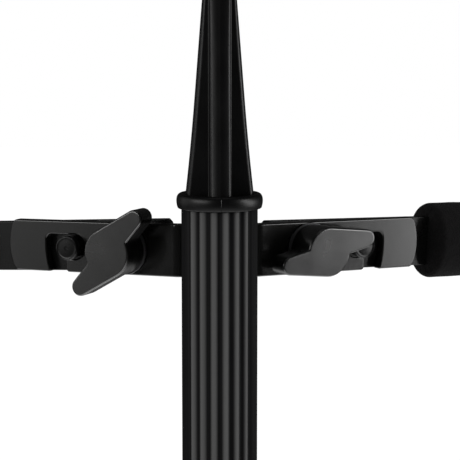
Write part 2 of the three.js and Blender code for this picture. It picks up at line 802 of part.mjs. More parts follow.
function lowerHub() {
  const top = lowerHubBottom + lowerHubHeight;
  const body = turned([
    [0, lowerHubBottom],
    [lowerHubRadius - hubEdge, lowerHubBottom],
    [lowerHubRadius, lowerHubBottom + hubEdge],
    [lowerHubRadius, top - hubEdge],
    [lowerHubRadius - hubEdge, top],
    [0, top],
  ], 28);
  const lugs = legAzimuths.map((azimuth) => lug(lugRadius, pivotRadius, lowerPivotHeight,
    -lowerLugHalfWidth, lowerLugHalfWidth).rotateZ(azimuth));
  const restLugs = sides.map((side) => {
    const low = side > 0 ? restClevisInner : -restClevisOuter;
    return lug(restEyeRadius, restPivotRadius, restPivotHeight, low, low + restClevisWall).rotateZ(quarterTurn);
  });
  const ledge = block(-restClevisOuter, restClevisOuter, 0, restPivotRadius + restEyeRadius / 2,
    lowerHubBottom, lowerHubBottom + restLedge);
  const bore = rodAlongZ(hubBore, lowerHubBottom + hubFloor, top + overrun, boreSegments);
  const pinHoles = legAzimuths.map((azimuth) => rodAlongY(pivotPinRadius + seatGap, -lowerLugHalfWidth - overrun,
    lowerLugHalfWidth + overrun, 10).translate(pivotRadius, 0, lowerPivotHeight).rotateZ(azimuth));
  const restHole = rodAlongX(pivotPinRadius + seatGap, -restClevisOuter - overrun, restClevisOuter + overrun, 10)
    .translate(0, restPivotRadius, restPivotHeight);
  const screwHole = rodAlongX(hubScrewRadius + seatGap, columnBore, lowerHubRadius + overrun, 10)
    .translate(0, 0, lowerHubBottom + hubScrewHeight).rotateZ(hubScrewAzimuth);
  return cut(join(body, ...lugs, ...restLugs, ledge), bore, ...pinHoles, restHole, screwHole);
}

function hubScrew() {
  const profile = [
    [0, hubBore - seatGap / 2],
    [hubScrewRadius, hubBore - seatGap / 2],
    [hubScrewRadius, lowerHubRadius + seatGap],
    [hubScrewHeadRadius, lowerHubRadius + seatGap],
    [hubScrewHeadRadius * 0.75, lowerHubRadius + seatGap + hubScrewHeadHeight],
    [0, lowerHubRadius + seatGap + hubScrewHeadHeight],
  ];
  const socket = rodAlongZ(hubScrewRadius * 0.7, lowerHubRadius + hubScrewHeadHeight - 1,
    lowerHubRadius + hubScrewHeadHeight + overrun, 6);
  return cut(turned(profile, 16), socket).rotateY(quarterTurn)
    .translate(0, 0, lowerHubBottom + hubScrewHeight).rotateZ(hubScrewAzimuth);
}

function sliderHub() {
  const low = upperPivotHeight - sliderHubDrop;
  const high = upperPivotHeight + sliderHubRise;
  const body = turned([
    [0, low],
    [sliderHubRadius - hubEdge, low],
    [sliderHubRadius, low + hubEdge],
    [sliderHubRadius, high - hubEdge],
    [sliderHubRadius - hubEdge, high],
    [0, high],
  ], 28);
  const lugs = legAzimuths.flatMap((azimuth) => sides.map((side) => {
    const inner = side > 0 ? clevisInner : -clevisOuter;
    return lug(clevisRadius, pivotRadius, upperPivotHeight, inner, inner + clevisWall).rotateZ(azimuth);
  }));
  const boss = rodAlongX(bossRadius, columnRadius + overrun / 2, bossReach, 18)
    .translate(0, 0, clampHeight).rotateZ(clampAzimuth);
  const bore = rodAlongZ(columnRadius + runningGap, low - overrun, high + overrun, boreSegments);
  const pinHoles = legAzimuths.map((azimuth) => rodAlongY(pivotPinRadius + seatGap, -clevisOuter - overrun,
    clevisOuter + overrun, 10).translate(pivotRadius, 0, upperPivotHeight).rotateZ(azimuth));
  const studHole = rodAlongX(boltRadius + seatGap, columnBore, bossReach + overrun, 14)
    .translate(0, 0, clampHeight).rotateZ(clampAzimuth);
  const padHole = rodAlongX(clampPadRadius + seatGap, columnBore, padEnd() + seatGap, 16)
    .translate(0, 0, clampHeight).rotateZ(clampAzimuth);
  return cut(join(body, ...lugs, boss), bore, ...pinHoles, studHole, padHole);
}

function padEnd() {
  return columnRadius + seatGap + clampPadThickness;
}

function clampPad() {
  return rodAlongX(clampPadRadius, columnRadius + seatGap, padEnd(), 16)
    .translate(0, 0, clampHeight).rotateZ(clampAzimuth);
}

// A pin with a button head at each end, lying along y
function headedPin(halfGrip) {
  const profile = [
    [0, -halfGrip - rivetHeadHeight],
    [rivetHeadRadius * 0.7, -halfGrip - rivetHeadHeight],
    [rivetHeadRadius, -halfGrip],
    [pivotPinRadius, -halfGrip],
    [pivotPinRadius, halfGrip],
    [rivetHeadRadius, halfGrip],
    [rivetHeadRadius * 0.7, halfGrip + rivetHeadHeight],
    [0, halfGrip + rivetHeadHeight],
  ];
  return turned(profile, 10).rotateX(-quarterTurn);
}

// Leg: square tube with a moulded knuckle at the top and a rubber foot
function squareBar(shape, low, high) {
  return new THREE.ExtrudeGeometry(shape, { depth: high - low, curveSegments: 1, bevelEnabled: false })
    .rotateY(quarterTurn).translate(low, 0, 0);
}

function squareTube() {
  const shape = roundedRectangle(legHalf, legHalf, legCorner);
  const hollow = roundedRectangle(legHalf - legWall, legHalf - legWall, legCorner - legWall / 2);
  shape.holes.push(new THREE.Path(hollow.getPoints(1).reverse()));
  return squareBar(shape, knuckleReach + seatGap, tubeEnd);
}

function legKnuckle() {
  const shape = new THREE.Shape();
  shape.moveTo(knuckleReach, -legHalf);
  shape.lineTo(knuckleReach, legHalf);
  shape.lineTo(0, legHalf);
  shape.absarc(0, 0, legHalf, quarterTurn, Math.PI + quarterTurn);
  shape.closePath();
  const head = slab(shape, -legHalf, legHalf, 5);
  const inner = legHalf - legWall - seatGap;
  const spigot = squareBar(roundedRectangle(inner, inner, legCorner - legWall / 2),
    knuckleReach - overrun, knuckleReach + knuckleSpigot);
  const hole = rodAlongY(pivotPinRadius + seatGap, -legHalf - overrun, legHalf + overrun, 10);
  return cut(join(head, spigot), hole);
}

// Rubber foot: a round-ended boot cut flat where it meets the floor
function legFoot() {
  const start = tubeEnd - footCover;
  const outline = [[0, start], [footRadius - legWall, start], [footRadius, start + legWall]];
  const steps = 5;
  for (let i = 0; i < steps; i++) {
    const angle = (i / steps) * quarterTurn;
    outline.push([footRadius * Math.cos(angle), footCentre + footRadius * Math.sin(angle)]);
  }
  outline.push([0, footCentre + footRadius]);
  const boot = turned(outline, 16).rotateY(quarterTurn);
  const socket = block(start - overrun, tubeEnd + seatGap, -legHalf - seatGap, legHalf + seatGap,
    -legHalf - seatGap, legHalf + seatGap);
  const hollow = cut(boot, socket);
  const lean = new THREE.Matrix4().makeRotationY(quarterTurn - spreadAngle);
  lean.setPosition(pivotRadius, 0, upperPivotHeight);
  const back = lean.clone().invert();
  const above = block(0, footCentre * 2, -footRadius * 2, footRadius * 2, 0, upperPivotHeight * 2)
    .applyMatrix4(back);
  return common(hollow, above);
}

// Strut: a channel whose two walls straddle the leg, with its web on the column's side
function strut() {
  const low = -strutWebOffset - strutWall;
  const side = new THREE.Shape();
  side.absarc(0, 0, strutEndRadius, quarterTurn, quarterTurn + Math.PI);
  side.lineTo(strutWebStart, low);
  side.lineTo(linkLength - strutWebStart, low);
  side.lineTo(linkLength, -strutEndRadius);
  side.absarc(linkLength, 0, strutEndRadius, -quarterTurn, quarterTurn);
  side.lineTo(linkLength - strutWebStart, strutOpenDepth);
  side.lineTo(strutWebStart, strutOpenDepth);
  side.closePath();
  const walls = sides.map((s) => (s > 0 ? slab(side, strutInner, strutOuter, 3)
    : slab(side, -strutOuter, -strutInner, 3)));
  const web = block(strutWebStart, linkLength - strutWebStart, -strutInner - strutWall / 2,
    strutInner + strutWall / 2, low, -strutWebOffset);
  const holes = [0, linkLength].map((x) => rodAlongY(pivotPinRadius + seatGap, -strutOuter - overrun,
    strutOuter + overrun, 10).translate(x, 0, 0));
  return cut(join(...walls, web), ...holes);
}

// Rivets at the strut's outer end: each ends just short of the leg's wall
function strutRivet(side) {
  const profile = [
    [0, legHalf + seatGap],
    [pivotPinRadius, legHalf + seatGap],
    [pivotPinRadius, strutOuter + seatGap],
    [rivetHeadRadius, strutOuter + seatGap],
    [rivetHeadRadius * 0.7, strutOuter + seatGap + rivetHeadHeight],
    [0, strutOuter + seatGap + rivetHeadHeight],
  ];
  return turned(profile, 10).rotateX(-side * quarterTurn);
}

function addLeg(index, stand) {
  const name = legNames[index];
  const spoke = new THREE.Group();
  spoke.rotation.z = legAzimuths[index];
  stand.add(spoke);

  const leg = new THREE.Group();
  leg.position.set(pivotRadius, 0, upperPivotHeight);
  leg.rotation.y = quarterTurn - spreadAngle;
  spoke.add(leg);
  place(`${name}_leg_tube`, squareTube(), steelPaint(), leg);
  place(`${name}_leg_knuckle`, legKnuckle(), hubPlastic(), leg);
  place(`${name}_leg_foot`, legFoot(), footRubber(), leg);

  const link = new THREE.Group();
  link.position.set(pivotRadius + linkLength * Math.sin(spreadAngle), 0,
    lowerPivotHeight + linkLength * Math.cos(spreadAngle));
  link.rotation.y = quarterTurn + spreadAngle;
  spoke.add(link);
  place(`${name}_strut`, strut(), steelPaint(), link);
  sides.forEach((side) => place(`${name}_strut_rivet_${sideNames[side]}`, strutRivet(side), blackSteel(), link));

  const legPin = headedPin(clevisOuter + seatGap).translate(pivotRadius, 0, upperPivotHeight);
  place(`${name}_leg_pin`, legPin, blackSteel(), spoke);
  const strutPin = headedPin(strutOuter + seatGap).translate(pivotRadius, 0, lowerPivotHeight);
  place(`${name}_strut_pin`, strutPin, blackSteel(), spoke);
}

// End pin rest: a flat arm hinged on the lower hub, with a rubber cup on its end
function restArm() {
  const low = restPivotHeight - restEyeRadius;
  const tip = restPivotRadius + restReach;
  const profile = new THREE.Shape();
  profile.moveTo(tip + restDiscRadius, low);
  profile.lineTo(tip + restDiscRadius, restTop);
  profile.lineTo(restPivotRadius + 2 * restEyeRadius, restTop);
  profile.quadraticCurveTo(restPivotRadius + restEyeRadius * 1.2, restTop,
    restPivotRadius + restEyeRadius * Math.SQRT1_2, restPivotHeight + restEyeRadius * Math.SQRT1_2);
  profile.absarc(restPivotRadius, restPivotHeight, restEyeRadius, Math.PI / 4, Math.PI + quarterTurn);
  profile.closePath();
  const long = slab(profile, -restDiscRadius, restDiscRadius, 4).rotateZ(quarterTurn);
  const plan = new THREE.Shape();
  const half = restWidth / 2;
  const meet = Math.asin(half / restDiscRadius);
  plan.moveTo(-half, 0);
  plan.lineTo(half, 0);
  plan.absarc(0, tip, restDiscRadius, -quarterTurn + meet, 3 * quarterTurn - meet);
  plan.closePath();
  const outline = new THREE.ExtrudeGeometry(plan, { depth: 4 * restEyeRadius, curveSegments: 9, bevelEnabled: false })
    .translate(0, 0, low - restEyeRadius);
  const pinHole = rodAlongX(pivotPinRadius + seatGap, -restWidth, restWidth, 12)
    .translate(0, restPivotRadius, restPivotHeight);
  const stemHole = rodAlongZ(cupStemRadius + seatGap, low - overrun, restTop + overrun, 20).translate(0, tip, 0);
  return cut(common(long, outline), pinHole, stemHole);
}

function restCup() {
  const base = restTop + seatGap;
  const tip = restPivotRadius + restReach;
  const buttonTop = restTop - restThickness - seatGap;
  const profile = [
    [0, base - cupStemDrop],
    [cupStemRadius, base - cupStemDrop],
    [cupButtonRadius, buttonTop - seatGap],
    [cupButtonRadius, buttonTop],
    [cupStemRadius, buttonTop],
    [cupStemRadius, base],
    [cupRadius, base],
    [cupRadius, base + cupHeight * 0.45],
    [cupRadius * 0.9, base + cupHeight * 0.9],
    [cupRadius * 0.84, base + cupHeight],
    [cupHollowRadius, base + cupHeight],
    [cupHollowRadius * 0.9, base + cupHeight - cupHollowDepth],
    [0, base + cupHeight - cupHollowDepth],
  ];
  return turned(profile, 16).translate(0, tip, 0);
}

function restPin() {
  return headedPin(restClevisOuter + seatGap).rotateZ(quarterTurn)
    .translate(0, restPivotRadius, restPivotHeight);
}

function addClamp(stand) {
  const spoke = new THREE.Group();
  spoke.rotation.z = clampAzimuth;
  stand.add(spoke);
  const axis = new THREE.Group();
  axis.position.z = clampHeight;
  axis.rotation.y = quarterTurn;
  spoke.add(axis);
  const base = bossReach + seatGap;
  addKnob('clamp', axis, base, quarterTurn);
  const studTip = base + knobBoreDepth - seatGap - 1;
  place('clamp_stud', rodAlongZ(boltRadius, padEnd() + seatGap, studTip, 20), blackSteel(), axis);
}

function buildStand() {
  const stand = new THREE.Group();
  place('column', columnTube(), columnPaint(), stand);
  place('top_peg', topPeg(), pegPlastic(), stand);
  place('v_bracket', vBracket(), steelPaint(), stand);
  screwHeights().forEach((z, i) => place(`bracket_screw_${i + 1}`, bracketScrew(z), blackSteel(), stand));
  place('bracket_nut_plate', bracketNutPlate(), blackSteel(), stand);
  sides.forEach((side) => addArm(side, stand));
  place('lower_hub', lowerHub(), hubPlastic(), stand);
  place('hub_screw', hubScrew(), blackSteel(), stand);
  place('slider_hub', sliderHub(), hubPlastic(), stand);
  place('clamp_pad', clampPad(), brass(), stand);
  addClamp(stand);
  legNames.forEach((name, index) => addLeg(index, stand));
  place('rest_arm', restArm(), steelPaint(), stand);
  place('rest_cup', restCup(), footRubber(), stand);
  place('rest_pin', restPin(), blackSteel(), stand);
  return stand;
}

// The origin is on the floor at the middle of the stand's footprint
function centred(stand) {
  stand.updateMatrixWorld(true);
  const bounds = new THREE.Box3().setFromObject(stand, true);
  stand.position.set(0, -(bounds.min.y + bounds.max.y) / 2, -bounds.min.z);
  stand.updateMatrixWorld(true);
  return stand;
}

export default centred(buildStand());
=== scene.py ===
import json
import math

import bpy
from mathutils import Matrix, Vector


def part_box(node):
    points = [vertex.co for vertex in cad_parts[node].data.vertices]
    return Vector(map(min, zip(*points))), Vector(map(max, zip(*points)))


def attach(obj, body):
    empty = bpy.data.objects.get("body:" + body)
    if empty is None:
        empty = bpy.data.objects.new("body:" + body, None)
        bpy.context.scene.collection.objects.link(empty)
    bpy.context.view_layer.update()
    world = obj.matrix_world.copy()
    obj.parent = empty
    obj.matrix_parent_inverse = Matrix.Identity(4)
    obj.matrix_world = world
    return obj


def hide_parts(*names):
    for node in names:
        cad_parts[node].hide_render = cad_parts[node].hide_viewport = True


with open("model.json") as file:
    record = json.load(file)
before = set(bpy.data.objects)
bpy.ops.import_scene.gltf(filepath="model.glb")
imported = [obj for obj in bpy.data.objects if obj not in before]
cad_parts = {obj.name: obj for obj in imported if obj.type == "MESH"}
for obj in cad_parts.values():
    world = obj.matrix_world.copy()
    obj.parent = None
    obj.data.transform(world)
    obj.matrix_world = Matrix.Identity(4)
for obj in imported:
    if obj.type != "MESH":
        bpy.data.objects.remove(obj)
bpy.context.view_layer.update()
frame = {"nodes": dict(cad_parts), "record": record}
nodes = frame["nodes"]
record = frame["record"]
bodyOfNode = {node: body for body, members in record["behaviour"]["bodies"].items() for node in members}
slotOfNode = {entry["node"]: entry["material_slot"] for entry in record["subparts"]}
jointNamed = {joint["name"]: joint for joint in record["behaviour"]["joints"]}
columnLow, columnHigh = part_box("column")
axisX = (columnLow.x + columnHigh.x) / 2
axisY = (columnLow.y + columnHigh.y) / 2
collarHeight = columnHigh.z  # where the peg's collar sits on the tube
print("frame loaded:", len(nodes), "nodes")


# Small helpers for picking and shaping

sameSpot = 0.00001  # corners nearer than this are one


def letGo():
    if bpy.context.object and bpy.context.object.mode != "OBJECT":
        bpy.ops.object.mode_set(mode="OBJECT")
    bpy.ops.object.select_all(action="DESELECT")


def pick(piece):
    letGo()
    bpy.context.view_layer.objects.active = piece
    piece.select_set(True)


def editAll(piece, kind="VERT"):
    pick(piece)
    bpy.ops.object.mode_set(mode="EDIT")
    bpy.ops.mesh.select_mode(type=kind)
    bpy.ops.mesh.select_all(action="SELECT")


def markFaces(piece, test):
    editAll(piece, "FACE")
    bpy.ops.mesh.select_all(action="DESELECT")
    bpy.ops.object.mode_set(mode="OBJECT")
    for face in piece.data.polygons:
        face.select = test(face)
    bpy.ops.object.mode_set(mode="EDIT")


def markCorners(piece, test):
    editAll(piece, "VERT")
    bpy.ops.mesh.select_all(action="DESELECT")
    bpy.ops.object.mode_set(mode="OBJECT")
    for corner in piece.data.vertices:
        corner.select = test(corner.co)
    bpy.ops.object.mode_set(mode="EDIT")


def closeUp(piece, gap=0.000005):
    editAll(piece)
    bpy.ops.mesh.remove_doubles(threshold=gap)
    bpy.ops.mesh.normals_make_consistent(inside=False)
    bpy.ops.object.mode_set(mode="OBJECT")


def settle(piece):
    pick(piece)
    bpy.ops.object.transform_apply(location=True, rotation=True, scale=True)


def roundEdges(piece, width, steps, angle=30):
    pick(piece)
    bpy.ops.object.modifier_add(type="BEVEL")
    bevel = piece.modifiers[-1]
    bevel.width = width
    bevel.segments = steps
    bevel.limit_method = "ANGLE"
    bevel.angle_limit = math.radians(angle)
    bevel.use_clamp_overlap = False
    bpy.ops.object.modifier_apply(modifier=bevel.name)


def combine(piece, other, operation, solver="EXACT"):
    pick(piece)
    bpy.ops.object.modifier_add(type="BOOLEAN")
    boolean = piece.modifiers[-1]
    boolean.operation = operation
    boolean.solver = solver
    boolean.object = other
    bpy.ops.object.modifier_apply(modifier=boolean.name)
    bpy.data.objects.remove(other)


def smooth(piece, angle=35):
    pick(piece)
    bpy.ops.object.shade_smooth_by_angle(angle=math.radians(angle))
    letGo()


def single(name):
    # one loose corner at the origin, to draw an outline from
    letGo()
    bpy.ops.mesh.primitive_plane_add(size=0.001)
    piece = bpy.context.object
    piece.name = name
    editAll(piece)
    bpy.ops.mesh.merge(type="CENTER")
    return piece


def drawTo(start, end):
    step = [end[i] - start[i] for i in range(3)]
    bpy.ops.mesh.extrude_region_move(TRANSFORM_OT_translate={"value": step})


def around(centre, radius, angle):
    return (centre[0] + radius * math.cos(angle), centre[1] + radius * math.sin(angle), 0)


def arcSpots(centre, radius, start, end, steps):
    angles = [math.radians(start + (end - start) * i / steps) for i in range(steps + 1)]
    return [around(centre, radius, angle) for angle in angles]


def drawArc(centre, radius, start, end, steps):
    # an arc in the drawing plane, drawn as short pulls from the corner where the outline stands
    spots = arcSpots(centre, radius, start, end, steps)
    for a, b in zip(spots, spots[1:]):
        drawTo(a, b)
    return spots[-1]


def closeOutline():
    bpy.ops.mesh.select_all(action="SELECT")
    bpy.ops.mesh.remove_doubles(threshold=sameSpot)
    bpy.ops.mesh.edge_face_add()


def turned(name, profile, steps=64):
    # profile is (radius, height) pairs, spun about Z
    piece = single(name)
    points = [(r, 0, z) for r, z in profile]
    bpy.ops.transform.translate(value=points[0])
    for start, end in zip(points, points[1:]):
        drawTo(start, end)
    bpy.ops.mesh.select_all(action="SELECT")
    bpy.ops.mesh.spin(steps=steps, angle=2 * math.pi, center=(0, 0, 0), axis=(0, 0, 1))
    closeUp(piece)
    return piece


def rod(name, radius, low, high, steps):
    # a round bar along Z, to cut a bore with
    return turned(name, [(0, low), (radius, low), (radius, high), (0, high)], steps)


def carried(piece, matrix):
    piece.matrix_world = matrix
    settle(piece)
    return piece


def putIn(piece, node, material):
    # rides with the node's body, takes its slot and stands in its place
    piece.data.materials.clear()
    piece.data.materials.append(material)
    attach(piece, bodyOfNode[node])
    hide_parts(node)


def evenShading(piece):
    # keeps the flat faces flat beside their rounded edges
    pick(piece)
    bpy.ops.object.modifier_add(type="WEIGHTED_NORMAL")
    even = piece.modifiers[-1]
    even.mode = "FACE_AREA"
    even.weight = 100
    even.keep_sharp = True
    bpy.ops.object.modifier_apply(modifier=even.name)
    letGo()


def copied(piece, name):
    again = bpy.data.objects.new(name, piece.data.copy())
    bpy.context.scene.collection.objects.link(again)
    return again


def mergeFlat(piece, angle):
    # one face where the faces lie in one plane
    editAll(piece)
    bpy.ops.mesh.remove_doubles(threshold=sameSpot)
    bpy.ops.mesh.dissolve_limited(angle_limit=math.radians(angle))
    bpy.ops.object.mode_set(mode="OBJECT")


# Shared shader effects

def nodeGroup(name, inputs, outputs):
    group = bpy.data.node_groups.new(name, "ShaderNodeTree")
    for label, kind, value in inputs:
        socket = group.interface.new_socket(name=label, in_out="INPUT", socket_type=kind)
        socket.default_value = value
    for label, kind in outputs:
        group.interface.new_socket(name=label, in_out="OUTPUT", socket_type=kind)
    start = group.nodes.new("NodeGroupInput")
    end = group.nodes.new("NodeGroupOutput")
    return group, start, end


def fineGrainGroup():
    # the fine orange-peel of powder coat and textured moulds, with patchy gloss
    group, start, end = nodeGroup(
        "fine grain",
        [("Grain Scale", "NodeSocketFloat", 2500.0), ("Patch Scale", "NodeSocketFloat", 60.0),
         ("Roughness Low", "NodeSocketFloat", 0.3), ("Roughness High", "NodeSocketFloat", 0.4)],
        [("Height", "NodeSocketFloat"), ("Roughness", "NodeSocketFloat"), ("Patch", "NodeSocketFloat")])
    place = group.nodes.new("ShaderNodeTexCoord")
    grain = group.nodes.new("ShaderNodeTexNoise")
    grain.inputs["Detail"].default_value = 3.0
    patch = group.nodes.new("ShaderNodeTexNoise")
    patch.inputs["Detail"].default_value = 4.0
    spread = group.nodes.new("ShaderNodeMapRange")
    spread.inputs["From Min"].default_value = 0.3
    spread.inputs["From Max"].default_value = 0.7
    link = group.links.new
    link(place.outputs["Object"], grain.inputs["Vector"])
    link(place.outputs["Object"], patch.inputs["Vector"])
    link(start.outputs["Grain Scale"], grain.inputs["Scale"])
    link(start.outputs["Patch Scale"], patch.inputs["Scale"])
    link(patch.outputs["Fac"], spread.inputs["Value"])
    link(start.outputs["Roughness Low"], spread.inputs["To Min"])
    link(start.outputs["Roughness High"], spread.inputs["To Max"])
    link(grain.outputs["Fac"], end.inputs["Height"])
    link(spread.outputs["Result"], end.inputs["Roughness"])
    link(patch.outputs["Fac"], end.inputs["Patch"])
    return group


def poreGroup():
    # open and closed cells of soft foam
    group, start, end = nodeGroup(
        "foam pores",
        [("Cell Scale", "NodeSocketFloat", 900.0)],
        [("Height", "NodeSocketFloat"), ("Speckle", "NodeSocketFloat")])
    place = group.nodes.new("ShaderNodeTexCoord")
    cells = group.nodes.new("ShaderNodeTexVoronoi")
    cloud = group.nodes.new("ShaderNodeTexNoise")
    cloud.inputs["Scale"].default_value = 350.0
    cloud.inputs["Detail"].default_value = 5.0
    both = group.nodes.new("ShaderNodeMath")
    both.operation = "ADD"
    link = group.links.new
    link(place.outputs["Object"], cells.inputs["Vector"])
    link(place.outputs["Object"], cloud.inputs["Vector"])
    link(start.outputs["Cell Scale"], cells.inputs["Scale"])
    link(cells.outputs["Distance"], both.inputs[0])
    link(cloud.outputs["Fac"], both.inputs[1])
    link(both.outputs["Value"], end.inputs["Height"])
    link(cloud.outputs["Fac"], end.inputs["Speckle"])
    return group


def fluteHighlightGroup():
    # painted highlight: one on the crest of each flute, nothing in its hollow
    group, start, end = nodeGroup(
        "painted flute highlights",
        [("Axis", "NodeSocketVector", (0.0, 0.0, 0.0)), ("Flutes", "NodeSocketFloat", 20.0),
         ("Turn", "NodeSocketFloat", 0.0)],
        [("Highlight", "NodeSocketFloat")])
    place = group.nodes.new("ShaderNodeTexCoord")
    fromAxis = group.nodes.new("ShaderNodeVectorMath")
    fromAxis.operation = "SUBTRACT"
    split = group.nodes.new("ShaderNodeSeparateXYZ")
    angle = group.nodes.new("ShaderNodeMath")
    angle.operation = "ARCTAN2"
    fromCrest = group.nodes.new("ShaderNodeMath")
    fromCrest.operation = "SUBTRACT"
    waves = group.nodes.new("ShaderNodeMath")
    waves.operation = "MULTIPLY"
    wave = group.nodes.new("ShaderNodeMath")
    wave.operation = "COSINE"
    spread = group.nodes.new("ShaderNodeMapRange")
    spread.interpolation_type = "SMOOTHSTEP"
    spread.inputs["From Min"].default_value = -0.8
    spread.inputs["From Max"].default_value = 1.0
    link = group.links.new
    link(place.outputs["Object"], fromAxis.inputs[0])
    link(start.outputs["Axis"], fromAxis.inputs[1])
    link(fromAxis.outputs["Vector"], split.inputs["Vector"])
    link(split.outputs["Y"], angle.inputs[0])
    link(split.outputs["X"], angle.inputs[1])
    link(angle.outputs["Value"], fromCrest.inputs[0])
    link(start.outputs["Turn"], fromCrest.inputs[1])
    link(fromCrest.outputs["Value"], waves.inputs[0])
    link(start.outputs["Flutes"], waves.inputs[1])
    link(waves.outputs["Value"], wave.inputs[0])
    link(wave.outputs["Value"], spread.inputs["Value"])
    link(spread.outputs["Result"], end.inputs["Highlight"])
    return group


fineGrain = fineGrainGroup()
foamPores = poreGroup()
fluteHighlights = fluteHighlightGroup()


def blankMaterial(name):
    material = bpy.data.materials.new(name)
    material.use_nodes = True
    shader = material.node_tree.nodes["Principled BSDF"]
    return material, material.node_tree, shader


def grainedMaterial(name, look):
    material, tree, shader = blankMaterial(name)
    grain = tree.nodes.new("ShaderNodeGroup")
    grain.node_tree = fineGrain
    grain.inputs["Grain Scale"].default_value = look["grainScale"]
    grain.inputs["Patch Scale"].default_value = look["patchScale"]
    grain.inputs["Roughness Low"].default_value = look["gloss"][0]
    grain.inputs["Roughness High"].default_value = look["gloss"][1]
    bump = tree.nodes.new("ShaderNodeBump")
    bump.inputs["Strength"].default_value = look["bump"]
    bump.inputs["Distance"].default_value = look["bumpDepth"]
    shades = tree.nodes.new("ShaderNodeMix")
    shades.data_type = "RGBA"
    shades.inputs["A"].default_value = (*look["colour"], 1)
    shades.inputs["B"].default_value = (*[c * look["lift"] for c in look["colour"]], 1)
    link = tree.links.new
    link(grain.outputs["Height"], bump.inputs["Height"])
    link(bump.outputs["Normal"], shader.inputs["Normal"])
    link(grain.outputs["Roughness"], shader.inputs["Roughness"])
    link(grain.outputs["Patch"], shades.inputs["Factor"])
    link(shades.outputs["Result"], shader.inputs["Base Color"])
    shader.inputs["Metallic"].default_value = look.get("metal", 0.0)
    shader.inputs["Specular IOR Level"].default_value = look.get("specular", 0.5)
    return material


looks = {
    "satin column paint": {"colour": (0.0030, 0.0030, 0.0032), "lift": 1.5, "gloss": (0.42, 0.50),
                           "grainScale": 3000.0, "patchScale": 40.0, "bump": 0.05, "bumpDepth": 0.0001,
                           "specular": 0.02},
    "black strap paint": {"colour": (0.0013, 0.0013, 0.0012), "lift": 1.5, "gloss": (0.17, 0.25),
                          "grainScale": 2600.0, "patchScale": 70.0, "bump": 0.06, "bumpDepth": 0.0001},
    "black arm paint": {"colour": (0.0016, 0.0016, 0.0016), "lift": 1.5, "gloss": (0.22, 0.30),
                        "grainScale": 2600.0, "patchScale": 70.0, "bump": 0.06, "bumpDepth": 0.0001,
                        "specular": 0.22},
    "moulded knob plastic": {"colour": (0.0016, 0.0016, 0.0015), "lift": 1.5, "gloss": (0.22, 0.28),
                             "grainScale": 2200.0, "patchScale": 90.0, "bump": 0.05, "bumpDepth": 0.0001,
                             "specular": 0.90},
    "moulded peg plastic": {"colour": (0.0010, 0.0010, 0.0011), "lift": 1.5, "gloss": (0.34, 0.42),
                            "grainScale": 2200.0, "patchScale": 60.0, "bump": 0.08, "bumpDepth": 0.0001,
                            "specular": 0.21},
    "moulded hub plastic": {"colour": (0.0090, 0.0090, 0.0090), "lift": 1.6, "gloss": (0.40, 0.52),
                            "grainScale": 1800.0, "patchScale": 60.0, "bump": 0.20, "bumpDepth": 0.0001},
    "foot rubber": {"colour": (0.0100, 0.0100, 0.0100), "lift": 1.8, "gloss": (0.62, 0.80),
                    "grainScale": 1400.0, "patchScale": 80.0, "bump": 0.30, "bumpDepth": 0.0001},
    "black zinc": {"colour": (0.030, 0.030, 0.031), "lift": 1.5, "gloss": (0.26, 0.40), "metal": 0.7,
                   "grainScale": 2600.0, "patchScale": 200.0, "bump": 0.08, "bumpDepth": 0.0001},
    "turned brass": {"colour": (0.60, 0.42, 0.17), "lift": 0.8, "gloss": (0.25, 0.38), "metal": 1.0,
                     "grainScale": 2600.0, "patchScale": 200.0, "bump": 0.05, "bumpDepth": 0.0001},
}
finish = {name: grainedMaterial(name, look) for name, look in looks.items()}


def foamMaterial():
    look = {"dark": (0.0011, 0.0010, 0.0011), "light": (0.0036, 0.0033, 0.0034), "bump": 0.6,
            "bumpDepth": 0.0004, "cells": 1100.0, "roughness": 0.95, "specular": 0.06, "sheen": 0.008,
            "sheenRoughness": 0.6}
    material, tree, shader = blankMaterial("soft foam")
    pores = tree.nodes.new("ShaderNodeGroup")
    pores.node_tree = foamPores
    pores.inputs["Cell Scale"].default_value = look["cells"]
    bump = tree.nodes.new("ShaderNodeBump")
    bump.inputs["Strength"].default_value = look["bump"]
    bump.inputs["Distance"].default_value = look["bumpDepth"]
    shades = tree.nodes.new("ShaderNodeMix")
    shades.data_type = "RGBA"
    shades.inputs["A"].default_value = (*look["dark"], 1)
    shades.inputs["B"].default_value = (*look["light"], 1)
    link = tree.links.new
    link(pores.outputs["Height"], bump.inputs["Height"])
    link(bump.outputs["Normal"], shader.inputs["Normal"])
    link(pores.outputs["Speckle"], shades.inputs["Factor"])
    link(shades.outputs["Result"], shader.inputs["Base Color"])
    shader.inputs["Roughness"].default_value = look["roughness"]
    shader.inputs["Specular IOR Level"].default_value = look["specular"]
    shader.inputs["Sheen Weight"].default_value = look["sheen"]
    shader.inputs["Sheen Roughness"].default_value = look["sheenRoughness"]
    return material


finish["soft foam"] = foamMaterial()
finishOfSlot = {
    "column_paint": "satin column paint", "steel_paint": "black strap paint",
    "peg_plastic": "moulded peg plastic", "knob_plastic": "moulded knob plastic",
    "hub_plastic": "moulded hub plastic", "foam": "soft foam", "foot_rubber": "foot rubber",
    "black_steel": "black zinc", "brass": "turned brass",
}
for node, piece in nodes.items():
    piece.data.materials.clear()
    piece.data.materials.append(finish[finishOfSlot[slotOfNode[node]]])
print("materials made:", len(finish))


# The arms: where they sit on the bracket's plates

def armPlace(side):
    # x runs to the viewer's right along the plate, y up, z towards the knob
    knobJoint = jointNamed[side + "_arm_knob_turn"]
    outward = Vector(jointNamed[side + "_arm_pull"]["axis"]).normalized()
    front = Vector(knobJoint["axis"]).normalized()
    across = outward if side == "right" else -outward
    up = front.cross(across)
    spot = Vector(knobJoint["pos_m"])
    return Matrix((
        (across.x, up.x, front.x, spot.x),
        (across.y, up.y, front.y, spot.y),
        (across.z, up.z, front.z, spot.z),
        (0, 0, 0, 1),
    ))


